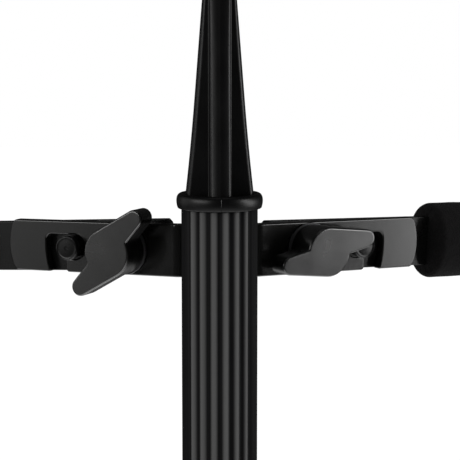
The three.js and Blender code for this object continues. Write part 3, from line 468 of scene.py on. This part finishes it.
arm = {
    "washerStack": 0.0021,  # knob's foot above the plate's front face
    "pinFromBolt": 0.0292,
    "sag": {"right": 0.8, "left": 2.3},
    "turn": {"right": 14.4, "left": 47.5},
}


def sagPlace(side):
    # frame of the bar: origin on the plate's front face at the pin, turned down by its sag
    way = 1 if side == "right" else -1
    shift = Matrix.Translation((way * arm["pinFromBolt"], 0, -arm["washerStack"]))
    return armPlace(side) @ shift @ Matrix.Rotation(-way * math.radians(arm["sag"][side]), 4, "Z")


# Wing knobs, drawn once with arcs and copied

knob = {"hub": 0.0117, "tip": 0.0043, "reach": 0.0266, "notch": 0.0013, "depth": 0.0112, "lift": 0.0044,
        "edge": 0.0010, "bore": 0.0063, "boreDepth": 0.0124, "boreOverrun": 0.002,
        "footInset": 0.0005, "footEdge": 0.0003, "footGap": 0.0002, "footTaper": 0.0003, "footSunk": 0.002}


def wingKnob():
    tipPlace = knob["reach"] - knob["tip"]
    tangent = math.acos((knob["hub"] - knob["tip"]) / tipPlace)
    notchY = -knob["tip"] - knob["notch"]
    notchX = math.sqrt((knob["hub"] + knob["notch"]) ** 2 - notchY ** 2)
    notchAngle = math.atan2(notchY, notchX)

    piece = single("wing_knob")
    bpy.ops.transform.translate(value=around((0, 0), knob["hub"], math.pi + notchAngle))
    for half in (0, math.pi):
        turn = math.cos(half)
        tip = (turn * tipPlace, 0, 0)
        notch = (turn * notchX, turn * notchY, 0)
        # round the back of the hub, along the tangent, round the tip, along to the hollow
        bpy.ops.mesh.spin(steps=16, angle=notchAngle + math.pi - tangent, center=(0, 0, 0), axis=(0, 0, 1))
        drawTo(around((0, 0), knob["hub"], half + tangent), around(tip, knob["tip"], half + tangent))
        bpy.ops.mesh.spin(steps=14, angle=tangent + math.pi / 2, center=tip, axis=(0, 0, 1))
        drawTo(around(tip, knob["tip"], half - math.pi / 2), around(notch, knob["notch"], half + math.pi / 2))
        bpy.ops.mesh.spin(steps=8, angle=math.pi / 2 + notchAngle, center=notch, axis=(0, 0, -1))
    closeOutline()
    bpy.ops.mesh.extrude_region_move(TRANSFORM_OT_translate={"value": (0, 0, knob["depth"])})
    closeUp(piece)
    piece.location.z = knob["lift"]
    settle(piece)
    roundEdges(piece, knob["edge"], 4, 50)

    footTop = knob["lift"] + knob["footSunk"]
    foot = turned("knob_foot", [
        (0, 0), (knob["hub"] - knob["footInset"], 0), (knob["hub"] - knob["footGap"], knob["footEdge"]),
        (knob["hub"] - knob["footTaper"], footTop), (0, footTop),
    ])
    combine(piece, foot, "UNION")
    combine(piece, rod("knob_bore", knob["bore"], -knob["boreOverrun"], knob["boreDepth"], 40), "DIFFERENCE")
    smooth(piece, 30)
    evenShading(piece)
    return piece


def clampPlace():
    # the clamp's frame, its x up
    joint = jointNamed["clamp_turn"]
    front = Vector(joint["axis"]).normalized()
    up = Vector((0, 0, 1))
    place = Matrix((up, front.cross(up), front)).transposed().to_4x4()
    place.translation = Vector(joint["pos_m"])
    return place


knobBlank = wingKnob()
for side in ("right", "left"):
    piece = copied(knobBlank, side + "_wing_knob")
    turn = Matrix.Rotation(math.radians(arm["turn"][side]), 4, "Z")
    carried(piece, armPlace(side) @ turn)
    putIn(piece, side + "_arm_knob", finish["moulded knob plastic"])
piece = copied(knobBlank, "clamp_wing_knob")
carried(piece, clampPlace() @ Matrix.Rotation(math.pi / 2, 4, "Z"))
putIn(piece, "clamp_knob", finish["moulded knob plastic"])
bpy.data.objects.remove(knobBlank)
print("knobs made")


# Pins that hook into the plates' slots

pin = {
    "shank": 0.0052, "head": 0.0060, "reach": 0.0056, "headHeight": 0.0030, "underEdge": 0.0002,
    "rivet": 0.0050, "tenon": 0.0035, "tenonEnd": 0.0050, "back": 0.0103, "backGap": 0.0003,
    "rivetDome": [(0, 0.0020), (0.0030, 0.0019), (0.0044, 0.0012)],  # radius, height over the bar's back
    # the head's rim as inset and depth, its middle as radius and depth
    "rim": [(0, 0.0008), (0.00025, 0.0003), (0.0007, 0.0001), (0.0011, 0.00035), (0.0018, 0.0003)],
    "middle": [(0.0016, 0.0001), (0.0011, 0.0001), (0.0009, 0.0004), (0, 0.00045)],
}


def armPin(side):
    face = pin["reach"]
    under = face - pin["headHeight"]
    seat = -pin["back"] - pin["backGap"]
    profile = [(radius, -pin["back"] - height) for radius, height in pin["rivetDome"]]
    profile += [(pin["rivet"], seat), (pin["tenon"], seat), (pin["tenon"], -pin["tenonEnd"]),
                (pin["shank"], -pin["tenonEnd"]), (pin["shank"], under),
                (pin["head"] - pin["underEdge"], under), (pin["head"], under + pin["underEdge"])]
    profile += [(pin["head"] - inset, face - depth) for inset, depth in pin["rim"]]
    profile += [(radius, face - depth) for radius, depth in pin["middle"]]
    piece = turned(side + "_slot_pin", profile, 56)
    smooth(piece, 38)
    carried(piece, sagPlace(side))
    putIn(piece, side + "_arm_pin", finish["black arm paint"])


for side in ("right", "left"):
    armPin(side)
print("slot pins made")


# V bracket: one strap bent at both sides of the column, a J slot in each plate

strap = {
    "half": 0.0125, "thick": 0.005, "fall": 1.6, "bend": 28.5, "bendPlace": (0.0183, 0.0238),
    "boltPlace": 0.0259, "length": 0.0914, "endArc": 0.028, "corner": 0.0015, "slotHalf": 0.006,
    "slotCorner": 0.003,
    "hookPlace": 0.0542, "mouthInner": 0.0589, "mouthOuter": 0.0699, "bore": 0.0043, "screwBore": 0.0033,
    "screwSpacing": 0.014, "screwPlace": 0.0203, "screwReach": 0.03, "overrun": 0.003, "edge": 0.0008,
    "rootReach": 0.0005,  # how near a face's middle is to the plate's root to be its end face
}


def vBracket():
    half, corner, slotHalf = strap["half"], strap["corner"], strap["slotHalf"]
    lean = half * math.sin(math.radians(strap["fall"]))
    wallRadius = strap["mouthOuter"] - strap["boltPlace"]
    wallFoot = math.degrees(math.asin(half / wallRadius))
    wallHead = math.degrees(math.asin((slotHalf - strap["slotCorner"]) / wallRadius))
    headX = strap["boltPlace"] + wallRadius * math.cos(math.radians(wallHead))
    endReach = math.degrees(math.asin((half - corner) / strap["endArc"]))
    endX = strap["length"] - strap["endArc"] + strap["endArc"] * math.cos(math.radians(endReach))
    inner = strap["mouthInner"]

    piece = single("v_bracket_strap")
    bpy.ops.transform.translate(value=(lean, -half, 0))
    drawTo((lean, -half, 0), (inner - corner, -half, 0))
    spot = drawArc((inner - corner, -half + corner), corner, -90, 0, 5)
    drawTo(spot, (inner, -slotHalf - corner, 0))
    spot = drawArc((inner - corner, -slotHalf - corner), corner, 0, 90, 5)
    drawTo(spot, (strap["hookPlace"], -slotHalf, 0))
    spot = drawArc((strap["hookPlace"], 0), slotHalf, 270, 90, 28)
    drawTo(spot, (headX - strap["slotCorner"], slotHalf, 0))
    headY = slotHalf - strap["slotCorner"]
    spot = drawArc((headX - strap["slotCorner"], headY), strap["slotCorner"], 90, 0, 8)
    drawTo(spot, (headX, headY, 0))
    spot = drawArc((strap["boltPlace"], 0), wallRadius, wallHead, -wallFoot, 12)
    drawTo(spot, (endX - corner, -half, 0))
    drawTo((endX - corner, -half, 0), (endX, -half + corner, 0))
    spot = drawArc((strap["length"] - strap["endArc"], 0), strap["endArc"], -endReach, endReach, 16)
    drawTo(spot, (endX - corner, half, 0))
    drawTo((endX - corner, half, 0), (-lean, half, 0))
    drawTo((-lean, half, 0), (lean, -half, 0))
    closeOutline()
    bpy.ops.mesh.extrude_region_move(TRANSFORM_OT_translate={"value": (0, 0, -strap["thick"])})
    closeUp(piece)
    bore = rod("bolt_bore", strap["bore"], -strap["thick"] - strap["overrun"], strap["overrun"], 40)
    carried(bore, Matrix.Translation((strap["boltPlace"], 0, 0)))
    combine(piece, bore, "DIFFERENCE")
    plateFrame = armPlace("right") @ Matrix.Translation((-strap["boltPlace"], 0, -arm["washerStack"]))
    carried(piece, plateFrame)

    # the plate's root is turned round the bend and drawn on to the middle
    centre = (axisX + strap["bendPlace"][0], axisY + strap["bendPlace"][1], 0)
    root = plateFrame @ Vector((0, 0, -strap["thick"] / 2))
    inward = (plateFrame.to_3x3() @ Vector((-1, 0, 0))).normalized()
    markFaces(piece, lambda face: (face.center - root).length < strap["rootReach"]
              and face.normal.dot(inward) > 0.9)
    bpy.ops.mesh.spin(steps=10, angle=math.radians(strap["bend"]), center=centre, axis=(0, 0, 1))
    bpy.ops.mesh.extrude_region_move(TRANSFORM_OT_translate={"value": (-strap["bendPlace"][0], 0, 0)})
    bpy.ops.transform.resize(value=(0, 1, 1), center_override=(axisX, 0, 0))
    bpy.ops.mesh.delete(type="ONLY_FACE")
    bpy.ops.object.mode_set(mode="OBJECT")
    carried(piece, Matrix.Translation((-axisX, 0, 0)))
    bpy.ops.object.modifier_add(type="MIRROR")
    mirror = piece.modifiers[-1]
    mirror.merge_threshold = 0.0001
    bpy.ops.object.modifier_apply(modifier=mirror.name)
    carried(piece, Matrix.Translation((axisX, 0, 0)))
    closeUp(piece)
    mergeFlat(piece, 0.3)
    for way in (-1, 1):
        hole = rod("screw_bore", strap["screwBore"], -strap["screwReach"], strap["screwReach"], 32)
        height = jointNamed["right_arm_knob_turn"]["pos_m"][2] + way * strap["screwSpacing"] / 2
        spot = Matrix.Translation((axisX, axisY + strap["screwPlace"], height))
        carried(hole, spot @ Matrix.Rotation(math.pi / 2, 4, "X"))
        combine(piece, hole, "DIFFERENCE")
    roundEdges(piece, strap["edge"], 4)
    smooth(piece, 30)
    evenShading(piece)
    putIn(piece, "v_bracket", finish["black strap paint"])


vBracket()
print("bracket made")


# Foam sleeves: a soft tube pulled over the flat bar, so it stands oval

foam = {
    "start": {"right": 0.0469, "left": 0.0547}, "length": 0.120, "height": 0.038, "width": 0.030,
    "middle": -0.0078, "slitHeight": 0.0253, "slitWidth": 0.0058, "slitShares": (1.06, 1.5),
    "rim": 0.0032, "rings": 30, "sides": 96, "swell": 0.0006, "swellSize": 0.012,
}


def openTube(name, height, width):
    # an oval tube without ends
    letGo()
    bpy.ops.mesh.primitive_cylinder_add(vertices=foam["sides"], radius=0.5, depth=foam["length"],
                                        end_fill_type="NOTHING")
    piece = bpy.context.object
    piece.name = name
    piece.scale = (height, width, 1)
    settle(piece)
    return piece


def foamSleeve(side):
    way = 1 if side == "right" else -1
    piece = openTube(side + "_foam", foam["height"], foam["width"])
    tallShare, wideShare = foam["slitShares"]
    slit = openTube("slit", foam["slitHeight"] * tallShare, foam["slitWidth"] * wideShare)
    # the slit is a flat oval with square shoulders, as the bar makes it
    for corner in slit.data.vertices:
        corner.co.y = max(-foam["slitWidth"] / 2, min(foam["slitWidth"] / 2, corner.co.y))
    pick(piece)
    slit.select_set(True)
    bpy.ops.object.join()
    for end in (-1, 1):
        markCorners(piece, lambda spot: spot.z * end > foam["length"] / 2 - sameSpot)
        bpy.ops.mesh.bridge_edge_loops()
    closeUp(piece)
    roundEdges(piece, foam["rim"], 6, 50)
    for i in range(1, foam["rings"]):
        height = (i / foam["rings"] - 0.5) * (foam["length"] - 2 * foam["rim"])
        editAll(piece)
        bpy.ops.mesh.bisect(plane_co=(0, 0, height), plane_no=(0, 0, 1))
    bpy.ops.object.mode_set(mode="OBJECT")
    letGo()

    texture = bpy.data.textures.new(side + " foam swell", "CLOUDS")
    texture.noise_scale = foam["swellSize"]
    pick(piece)
    bpy.ops.object.modifier_add(type="DISPLACE")
    swell = piece.modifiers[-1]
    swell.texture = texture
    swell.strength = foam["swell"]
    bpy.ops.object.modifier_apply(modifier=swell.name)
    smooth(piece, 60)

    # stood on its side along the bar: the cylinder's z runs outward, its x is up
    lay = Matrix(((0, 0, way, 0), (1, 0, 0, 0), (0, way, 0, 0), (0, 0, 0, 1)))
    reach = way * (foam["start"][side] + foam["length"] / 2)
    carried(piece, sagPlace(side) @ Matrix.Translation((reach, 0, foam["middle"])) @ lay)
    putIn(piece, side + "_foam_sleeve", finish["soft foam"])


for side in ("right", "left"):
    foamSleeve(side)
print("foam sleeves made")


# Peg and collar, one moulding: four ribs in a cross that flare to their foot

peg = {
    "plug": 0.042, "plugRadius": 0.0144, "seat": 0.0003,
    "half": 0.0152, "topHalf": 0.0051, "flare": 0.00105, "flareHeight": 0.048,
    "rib": 0.0047, "edge": 0.0018, "root": 0.0008, "crown": 0.00055, "height": 0.132, "dome": 0.004,
    "levels": 14, "levelPower": 1.6, "domeLevels": 5, "domeSweep": 82, "sunk": 0.0030,
    "cornerSweep": 72, "cornerSteps": 4, "crownShares": (0.35, 0.7),
    "edgeShare": 0.36, "rootShare": 0.25, "crownShare": 0.30,  # of a rib's stand-out, near the tip
    "partingWidth": 0.00014, "ribParting": 0.00003, "collarParting": 0.00010, "collarRadius": 0.0196,
    "partingFrom": (0.0165, 0.0002),  # radius and height from which the line is raised
    "pocketPlay": 0.0006, "pocketBehind": 0.0060, "pocketShift": 0.0027,
}
collarProfile = [
    (0.01885, 0), (0.0190, 0.00010), (0.01908, 0.00022), (0.01917, 0.00046), (0.01933, 0.00102),
    (0.01947, 0.00164), (0.01958, 0.00230), (0.01963, 0.00299), (0.01964, 0.00368), (0.01958, 0.00434),
    (0.01945, 0.00496), (0.01925, 0.00552), (0.01895, 0.00599), (0.01856, 0.00635), (0.01812, 0.00661),
    (0.01767, 0.00672), (0.01725, 0.00668), (0.01690, 0.00650), (0.01655, 0.00620), (0.0162, 0.0059),
    (0.0155, 0.0057), (0, 0.0057),
]


def quarterOutline(half, rib, afterLine):
    # from the middle of one rib's end, round the root, to the middle of the next one's; the mould's
    # parting line runs over every second rib
    stand = half - rib
    edge = min(peg["edge"], rib / 2, stand * peg["edgeShare"])
    root = min(peg["root"], stand * peg["rootShare"])
    sink = min(peg["crown"], stand * peg["crownShare"])
    flat = rib - edge
    corner = half - sink - edge
    sweep, steps = peg["cornerSweep"], peg["cornerSteps"]
    spots = [(half, peg["partingWidth"], 0)] if afterLine else []
    spots += [(half - sink * share ** 2, flat * share, 0) for share in peg["crownShares"]]
    spots += arcSpots((corner, flat), edge, 90 - sweep, 90, steps)
    spots += arcSpots((rib + root, rib + root), root, 270, 180, steps)
    spots += arcSpots((flat, corner), edge, 0, sweep, steps)
    spots += [(flat * share, half - sink * share ** 2, 0) for share in reversed(peg["crownShares"])]
    if afterLine:
        return spots + [(0, half, 0)]
    return spots + [(peg["partingWidth"], half, 0), (0, half + peg["ribParting"], 0)]


def ribRing(height, half, rib):
    # one level of the cross
    piece = single("rib_level")
    bpy.ops.transform.translate(value=(half, 0, height))
    spot = Vector((half, 0, 0))
    for quarter in range(4):
        turn = Matrix.Rotation(math.radians(90 * quarter), 3, "Z")
        for goal in quarterOutline(half, rib, quarter % 2 == 1):
            goal = turn @ Vector(goal)
            drawTo(spot, goal)
            spot = goal
    closeUp(piece, 0.000001)
    letGo()
    return piece


def pegRibs():
    top = peg["height"] - peg["dome"]
    levels = []
    for i in range(peg["levels"] + 1):
        share = i / peg["levels"]
        height = peg["sunk"] + (top - peg["sunk"]) * share ** peg["levelPower"]
        flare = peg["flare"] * max(0, 1 - height / peg["flareHeight"]) ** 2
        half = peg["half"] + (peg["topHalf"] - peg["half"]) * height / top + flare
        levels.append((height, half, peg["rib"]))
    for i in range(1, peg["domeLevels"] + 1):
        angle = math.radians(peg["domeSweep"] * i / peg["domeLevels"])
        shrink = peg["dome"] * (1 - math.cos(angle))
        levels.append((top + peg["dome"] * math.sin(angle), peg["topHalf"] - shrink, peg["rib"] - shrink))
    rings = [ribRing(*level) for level in levels]
    pick(rings[0])
    for ring in rings[1:]:
        ring.select_set(True)
    bpy.ops.object.join()
    piece = bpy.context.object
    for low, high in zip(levels, levels[1:]):
        markCorners(piece, lambda spot: abs(spot.z - low[0]) < sameSpot or abs(spot.z - high[0]) < sameSpot)
        bpy.ops.mesh.bridge_edge_loops()
    for height in (levels[0][0], levels[-1][0]):
        markCorners(piece, lambda spot: abs(spot.z - height) < sameSpot)
        bpy.ops.mesh.edge_face_add()
    closeUp(piece, 0.000001)
    return piece


def nutPocket():
    # the room for the nut plate, open at the back
    low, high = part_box("bracket_nut_plate")
    size = high - low
    letGo()
    bpy.ops.mesh.primitive_cube_add(size=1)
    pocket = bpy.context.object
    pocket.scale = (size.x + peg["pocketPlay"], size.y + peg["pocketBehind"], size.z + peg["pocketPlay"])
    pocket.location = (low + high) / 2 + Vector((0, peg["pocketShift"], 0))
    settle(pocket)
    return pocket


def pegMoulding():
    plug = [(0, -peg["plug"]), (peg["plugRadius"] - peg["seat"], -peg["plug"]), (peg["plugRadius"], 0)]
    collar = turned("peg_and_collar", plug + collarProfile, 120)
    # the parting line runs over the collar too
    for x in (-peg["partingWidth"], peg["partingWidth"]):
        editAll(collar)
        bpy.ops.mesh.bisect(plane_co=(x, 0, 0), plane_no=(1, 0, 0))
    radius, height = peg["partingFrom"]
    markCorners(collar, lambda spot: abs(spot.x) < sameSpot and spot.z > height and abs(spot.y) > radius)
    raised = 1 + peg["collarParting"] / peg["collarRadius"]
    bpy.ops.transform.resize(value=(1, raised, 1), center_override=(0, 0, 0))
    letGo()
    combine(collar, pegRibs(), "UNION")
    carried(collar, Matrix.Translation((axisX, axisY, collarHeight + peg["seat"])))
    combine(collar, nutPocket(), "DIFFERENCE", "FAST")
    smooth(collar, 30)
    putIn(collar, "top_peg", finish["moulded peg plastic"])


pegMoulding()
print("peg made")


# Column: a tube rolled into shallow flutes

column = {
    "radius": 0.0175, "flutes": 20, "depth": 0.0012, "turn": 5.7, "steps": 16, "bore": 0.0147, "lip": 0.0004,
    # the crest colour and its turn paint highlights on the flutes' crests; the fade limits end them as
    # painted shade where the tube turns away
    "crestHighlight": (0.048, 0.048, 0.048), "highlightTurn": 7.2, "highlightFadeStart": 0.35, "highlightFadeEnd": 0.52,
}


def paintColumnHighlights():
    # painted highlights: paler bands on the crests of the flutes stand in for the light they catch
    tree = finish["satin column paint"].node_tree
    shader = tree.nodes["Principled BSDF"]
    hollow = shader.inputs["Base Color"].links[0].from_socket
    highlight = tree.nodes.new("ShaderNodeGroup")
    highlight.node_tree = fluteHighlights
    highlight.inputs["Axis"].default_value = (axisX, axisY, 0)
    highlight.inputs["Flutes"].default_value = column["flutes"]
    highlight.inputs["Turn"].default_value = math.radians(column["highlightTurn"])
    shades = tree.nodes.new("ShaderNodeMix")
    shades.data_type = "RGBA"
    shades.inputs["B"].default_value = (*column["crestHighlight"], 1)
    # painted shade: the painted highlights fade where the tube as a whole turns away from the view, not flute
    # by flute
    place = tree.nodes.new("ShaderNodeTexCoord")
    fromAxis = tree.nodes.new("ShaderNodeVectorMath")
    fromAxis.operation = "SUBTRACT"
    fromAxis.inputs[1].default_value = (axisX, axisY, 0)
    flat = tree.nodes.new("ShaderNodeVectorMath")
    flat.operation = "MULTIPLY"
    flat.inputs[1].default_value = (1, 1, 0)
    outward = tree.nodes.new("ShaderNodeVectorMath")
    outward.operation = "NORMALIZE"
    turnedAway = tree.nodes.new("ShaderNodeLayerWeight")
    turnedAway.inputs["Blend"].default_value = 0.5
    highlightFade = tree.nodes.new("ShaderNodeMapRange")
    highlightFade.inputs["From Min"].default_value = column["highlightFadeStart"]
    highlightFade.inputs["From Max"].default_value = column["highlightFadeEnd"]
    highlightFade.inputs["To Min"].default_value = 1.0
    highlightFade.inputs["To Max"].default_value = 0.0
    highlightAmount = tree.nodes.new("ShaderNodeMath")
    highlightAmount.operation = "MULTIPLY"
    link = tree.links.new
    link(place.outputs["Object"], fromAxis.inputs[0])
    link(fromAxis.outputs["Vector"], flat.inputs[0])
    link(flat.outputs["Vector"], outward.inputs[0])
    link(outward.outputs["Vector"], turnedAway.inputs["Normal"])
    link(turnedAway.outputs["Facing"], highlightFade.inputs["Value"])
    link(highlight.outputs["Highlight"], highlightAmount.inputs[0])
    link(highlightFade.outputs["Result"], highlightAmount.inputs[1])
    link(highlightAmount.outputs["Value"], shades.inputs["Factor"])
    link(hollow, shades.inputs["A"])
    link(shades.outputs["Result"], shader.inputs["Base Color"])


def flutedColumn():
    steps = column["steps"]
    letGo()
    bpy.ops.mesh.primitive_circle_add(vertices=column["flutes"] * steps, radius=column["radius"],
                                      fill_type="NOTHING", location=(0, 0, 0))
    piece = bpy.context.object
    piece.name = "fluted_column"
    settle(piece)
    for step in range(1, steps // 2 + 1):
        sink = column["depth"] / 2 * (1 - math.cos(2 * math.pi * step / steps))
        editAll(piece)
        bpy.ops.mesh.select_all(action="DESELECT")
        bpy.ops.object.mode_set(mode="OBJECT")
        for corner in piece.data.vertices:
            corner.select = corner.index % steps in (step, steps - step)
        bpy.ops.object.mode_set(mode="EDIT")
        shrink = 1 - sink / column["radius"]
        bpy.ops.transform.resize(value=(shrink, shrink, 1), center_override=(0, 0, 0))
    height = columnHigh.z - columnLow.z
    inward = column["bore"] / column["radius"]
    bpy.ops.mesh.select_all(action="SELECT")
    bpy.ops.mesh.extrude_region_move(TRANSFORM_OT_translate={"value": (0, 0, height)})
    bpy.ops.mesh.extrude_region_move(TRANSFORM_OT_translate={"value": (0, 0, 0)})
    bpy.ops.transform.resize(value=(inward, inward, 1), center_override=(0, 0, height))
    bpy.ops.mesh.extrude_region_move(TRANSFORM_OT_translate={"value": (0, 0, -height)})
    markCorners(piece, lambda spot: spot.z < height / 2)
    bpy.ops.mesh.bridge_edge_loops()
    closeUp(piece)
    roundEdges(piece, column["lip"], 2, 60)
    smooth(piece, 30)
    turn = Matrix.Rotation(math.radians(column["turn"]), 4, "Z")
    carried(piece, Matrix.Translation((axisX, axisY, columnLow.z)) @ turn)
    putIn(piece, "column", finish["satin column paint"])


paintColumnHighlights()
flutedColumn()
print("column made")


# Pieces whose own form is right: they only get rounded edges, of the width given here

edges = {
    "bracket_nut_plate": 0.0003,
    "right_arm_bar": 0.0004, "left_arm_bar": 0.0004, "right_arm_cap": 0.0004, "left_arm_cap": 0.0004,
    "right_front_washer": 0.0003, "left_front_washer": 0.0003, "right_rear_washer": 0.0003,
    "left_rear_washer": 0.0003, "right_bolt": 0.0, "left_bolt": 0.0,
    "lower_hub": 0.0005, "slider_hub": 0.0005, "rest_arm": 0.0005, "rest_cup": 0.0004, "rest_pin": 0.0003,
    "bracket_screw_1": 0.0002, "bracket_screw_2": 0.0002, "hub_screw": 0.0002,
}
for name in ("rear", "right", "left"):
    edges.update({name + "_leg_tube": 0.0, name + "_leg_knuckle": 0.0006, name + "_leg_foot": 0.0004,
                  name + "_strut": 0.0003, name + "_leg_pin": 0.0003, name + "_strut_pin": 0.0003,
                  name + "_strut_rivet_right": 0.0003, name + "_strut_rivet_left": 0.0003})
for node, width in edges.items():
    piece = copied(nodes[node], node + "_finished")
    mergeFlat(piece, 0.5)
    if width:
        roundEdges(piece, width, 2)
    smooth(piece)
    evenShading(piece)
    look = "black arm paint" if node.endswith("_arm_bar") else finishOfSlot[slotOfNode[node]]
    putIn(piece, node, finish[look])
print("edges rounded on", len(edges), "pieces")


# Floor, light and camera

stage = {
    "shadowShare": 0.8,  # how much of the floor's look is its own shading, so the shadow stays
    "nearGlow": 0.95,  # the rest is a glow, weaker near the stand, where the shadow is
    "farGlow": 1.68,
    "seenEdge": 2.4,
    "innerGlow": 2.2,  # painted reflection: what a reflection sees of the floor, a glow brighter than white near the stand and faint far from it
    "outerGlow": 0.06,
    "innerEdge": 0.45,
    "outerEdge": 1.05,
    "shade": (0.85, 0.85, 0.85),
    "size": 16.0,
}


def glowByReach(tree, reach, near, far, edge):
    # a glow that changes with the distance from the stand
    glow = tree.nodes.new("ShaderNodeMapRange")
    glow.interpolation_type = "SMOOTHSTEP"
    glow.inputs["From Min"].default_value = stage["innerEdge"]
    glow.inputs["From Max"].default_value = stage[edge]
    glow.inputs["To Min"].default_value = stage[near]
    glow.inputs["To Max"].default_value = stage[far]
    tree.links.new(reach.outputs["Value"], glow.inputs["Value"])
    return glow


def stageMaterial():
    material = bpy.data.materials.new("pale floor")
    material.use_nodes = True
    tree = material.node_tree
    tree.nodes.clear()
    add = tree.nodes.new
    link = tree.links.new
    out = add("ShaderNodeOutputMaterial")
    mix = add("ShaderNodeMixShader")
    plain = add("ShaderNodeBsdfDiffuse")
    plain.inputs["Color"].default_value = (*stage["shade"], 1)
    glow = add("ShaderNodeEmission")
    path = add("ShaderNodeLightPath")
    place = add("ShaderNodeTexCoord")
    reach = add("ShaderNodeVectorMath")
    reach.operation = "LENGTH"
    # painted reflection: for reflections the floor glows, brightest near the stand
    mirrored = glowByReach(tree, reach, "innerGlow", "outerGlow", "outerEdge")
    seen = glowByReach(tree, reach, "nearGlow", "farGlow", "seenEdge")
    strength = add("ShaderNodeMix")
    strength.data_type = "FLOAT"
    shareSeen = add("ShaderNodeMath")
    shareSeen.operation = "MULTIPLY"
    shareSeen.inputs[1].default_value = 1 - stage["shadowShare"]
    shareMirrored = add("ShaderNodeMath")
    shareMirrored.operation = "MAXIMUM"
    share = add("ShaderNodeMath")
    share.operation = "MAXIMUM"
    link(place.outputs["Object"], reach.inputs[0])
    link(path.outputs["Is Camera Ray"], strength.inputs["Factor"])
    link(mirrored.outputs["Result"], strength.inputs["A"])
    link(seen.outputs["Result"], strength.inputs["B"])
    link(strength.outputs["Result"], glow.inputs["Strength"])
    link(path.outputs["Is Camera Ray"], shareSeen.inputs[0])
    link(path.outputs["Is Glossy Ray"], shareMirrored.inputs[0])
    link(path.outputs["Is Transmission Ray"], shareMirrored.inputs[1])
    link(shareSeen.outputs["Value"], share.inputs[0])
    link(shareMirrored.outputs["Value"], share.inputs[1])
    link(share.outputs["Value"], mix.inputs["Fac"])
    link(plain.outputs["BSDF"], mix.inputs[1])
    link(glow.outputs["Emission"], mix.inputs[2])
    link(mix.outputs["Shader"], out.inputs["Surface"])
    return material


def floorPiece():
    letGo()
    bpy.ops.mesh.primitive_plane_add(size=stage["size"], location=(0, 0, 0))
    floor = bpy.context.object
    floor.name = "floor"
    settle(floor)
    floor.data.materials.append(stageMaterial())


studio = {
    # name: (turn to the viewer's right and height above level in degrees, distance, size, radiance, colour)
    "right front": ((72, 15), 1.6, (0.60, 0.60), 8.0, (1.0, 1.0, 1.0)),
    "right side": ((86, -4), 1.6, (0.92, 0.60), 6.0, (1.0, 1.0, 1.0)),
    "left front": ((-57, 16), 1.6, (1.16, 0.56), 6.8, (1.0, 0.998, 0.99)),
    "left low": ((-72, -5), 1.6, (0.62, 0.50), 0.8, (1.0, 0.998, 0.99)),
    "left back": ((-108, 8), 1.6, (0.80, 1.20), 0.9, (1.0, 0.998, 0.99)),
    "top": ((0, 84), 1.6, (1.0, 1.0), 0.35, (1.0, 1.0, 1.0)),
}


def softBox(name, way, distance, size, radiance, colour):
    turn, rise = math.radians(way[0]), math.radians(way[1])
    data = bpy.data.lights.new(name, "AREA")
    data.shape = "RECTANGLE"
    data.size, data.size_y = size
    data.energy = radiance * math.pi * size[0] * size[1]
    data.color = colour
    lamp = bpy.data.objects.new(name, data)
    bpy.context.scene.collection.objects.link(lamp)
    outward = Vector((math.sin(turn) * math.cos(rise), -math.cos(turn) * math.cos(rise), math.sin(rise)))
    lamp.location = Vector((axisX, axisY, collarHeight)) + outward * distance
    lamp.rotation_mode = "QUATERNION"
    lamp.rotation_quaternion = (-outward).to_track_quat("-Z", "Y")


# The world is white, except for reflections, which see a dark room, a little paler behind the stand
room = {"front": 0.02, "back": 0.04, "frontEdge": -0.1, "backEdge": 0.8}


def studioWorld():
    world = bpy.data.worlds.new("studio")
    bpy.context.scene.world = world
    world.use_nodes = True
    tree = world.node_tree
    tree.nodes.clear()
    add = tree.nodes.new
    link = tree.links.new
    out = add("ShaderNodeOutputWorld")
    white = add("ShaderNodeBackground")
    white.inputs["Strength"].default_value = 1.0
    white.inputs["Color"].default_value = (1, 1, 1, 1)
    dark = add("ShaderNodeBackground")
    mix = add("ShaderNodeMixShader")
    path = add("ShaderNodeLightPath")
    place = add("ShaderNodeTexCoord")
    split = add("ShaderNodeSeparateXYZ")
    shade = add("ShaderNodeMapRange")
    shade.inputs["From Min"].default_value = room["frontEdge"]
    shade.inputs["From Max"].default_value = room["backEdge"]
    shade.inputs["To Min"].default_value = room["front"]
    shade.inputs["To Max"].default_value = room["back"]
    link(place.outputs["Generated"], split.inputs["Vector"])
    link(split.outputs["Y"], shade.inputs["Value"])
    link(shade.outputs["Result"], dark.inputs["Strength"])
    link(path.outputs["Is Glossy Ray"], mix.inputs["Fac"])
    link(white.outputs["Background"], mix.inputs[1])
    link(dark.outputs["Background"], mix.inputs[2])
    link(mix.outputs["Shader"], out.inputs["Surface"])
    world.cycles.sampling_method = "NONE"  # keeps the white out of the reflections


shot = {
    "lens": 117.39,
    "place": (-0.02675, -0.67556, 0.0797),  # from the column's axis at the collar's foot
    "turn": (82.43965, -0.0115, -2.66568),
    "clip": (0.01, 50),
}


def camera():
    data = bpy.data.cameras.new("camera")
    data.sensor_width = 36
    data.lens = shot["lens"]
    data.clip_start, data.clip_end = shot["clip"]
    eye = bpy.data.objects.new("camera", data)
    bpy.context.scene.collection.objects.link(eye)
    eye.location = Vector((axisX, axisY, collarHeight)) + Vector(shot["place"])
    eye.rotation_euler = [math.radians(angle) for angle in shot["turn"]]
    bpy.context.scene.camera = eye


floorPiece()
for name, lamp in studio.items():
    softBox(name, *lamp)
studioWorld()
camera()
bpy.context.scene.view_settings.view_transform = "Standard"
print("stage, lights and camera set")
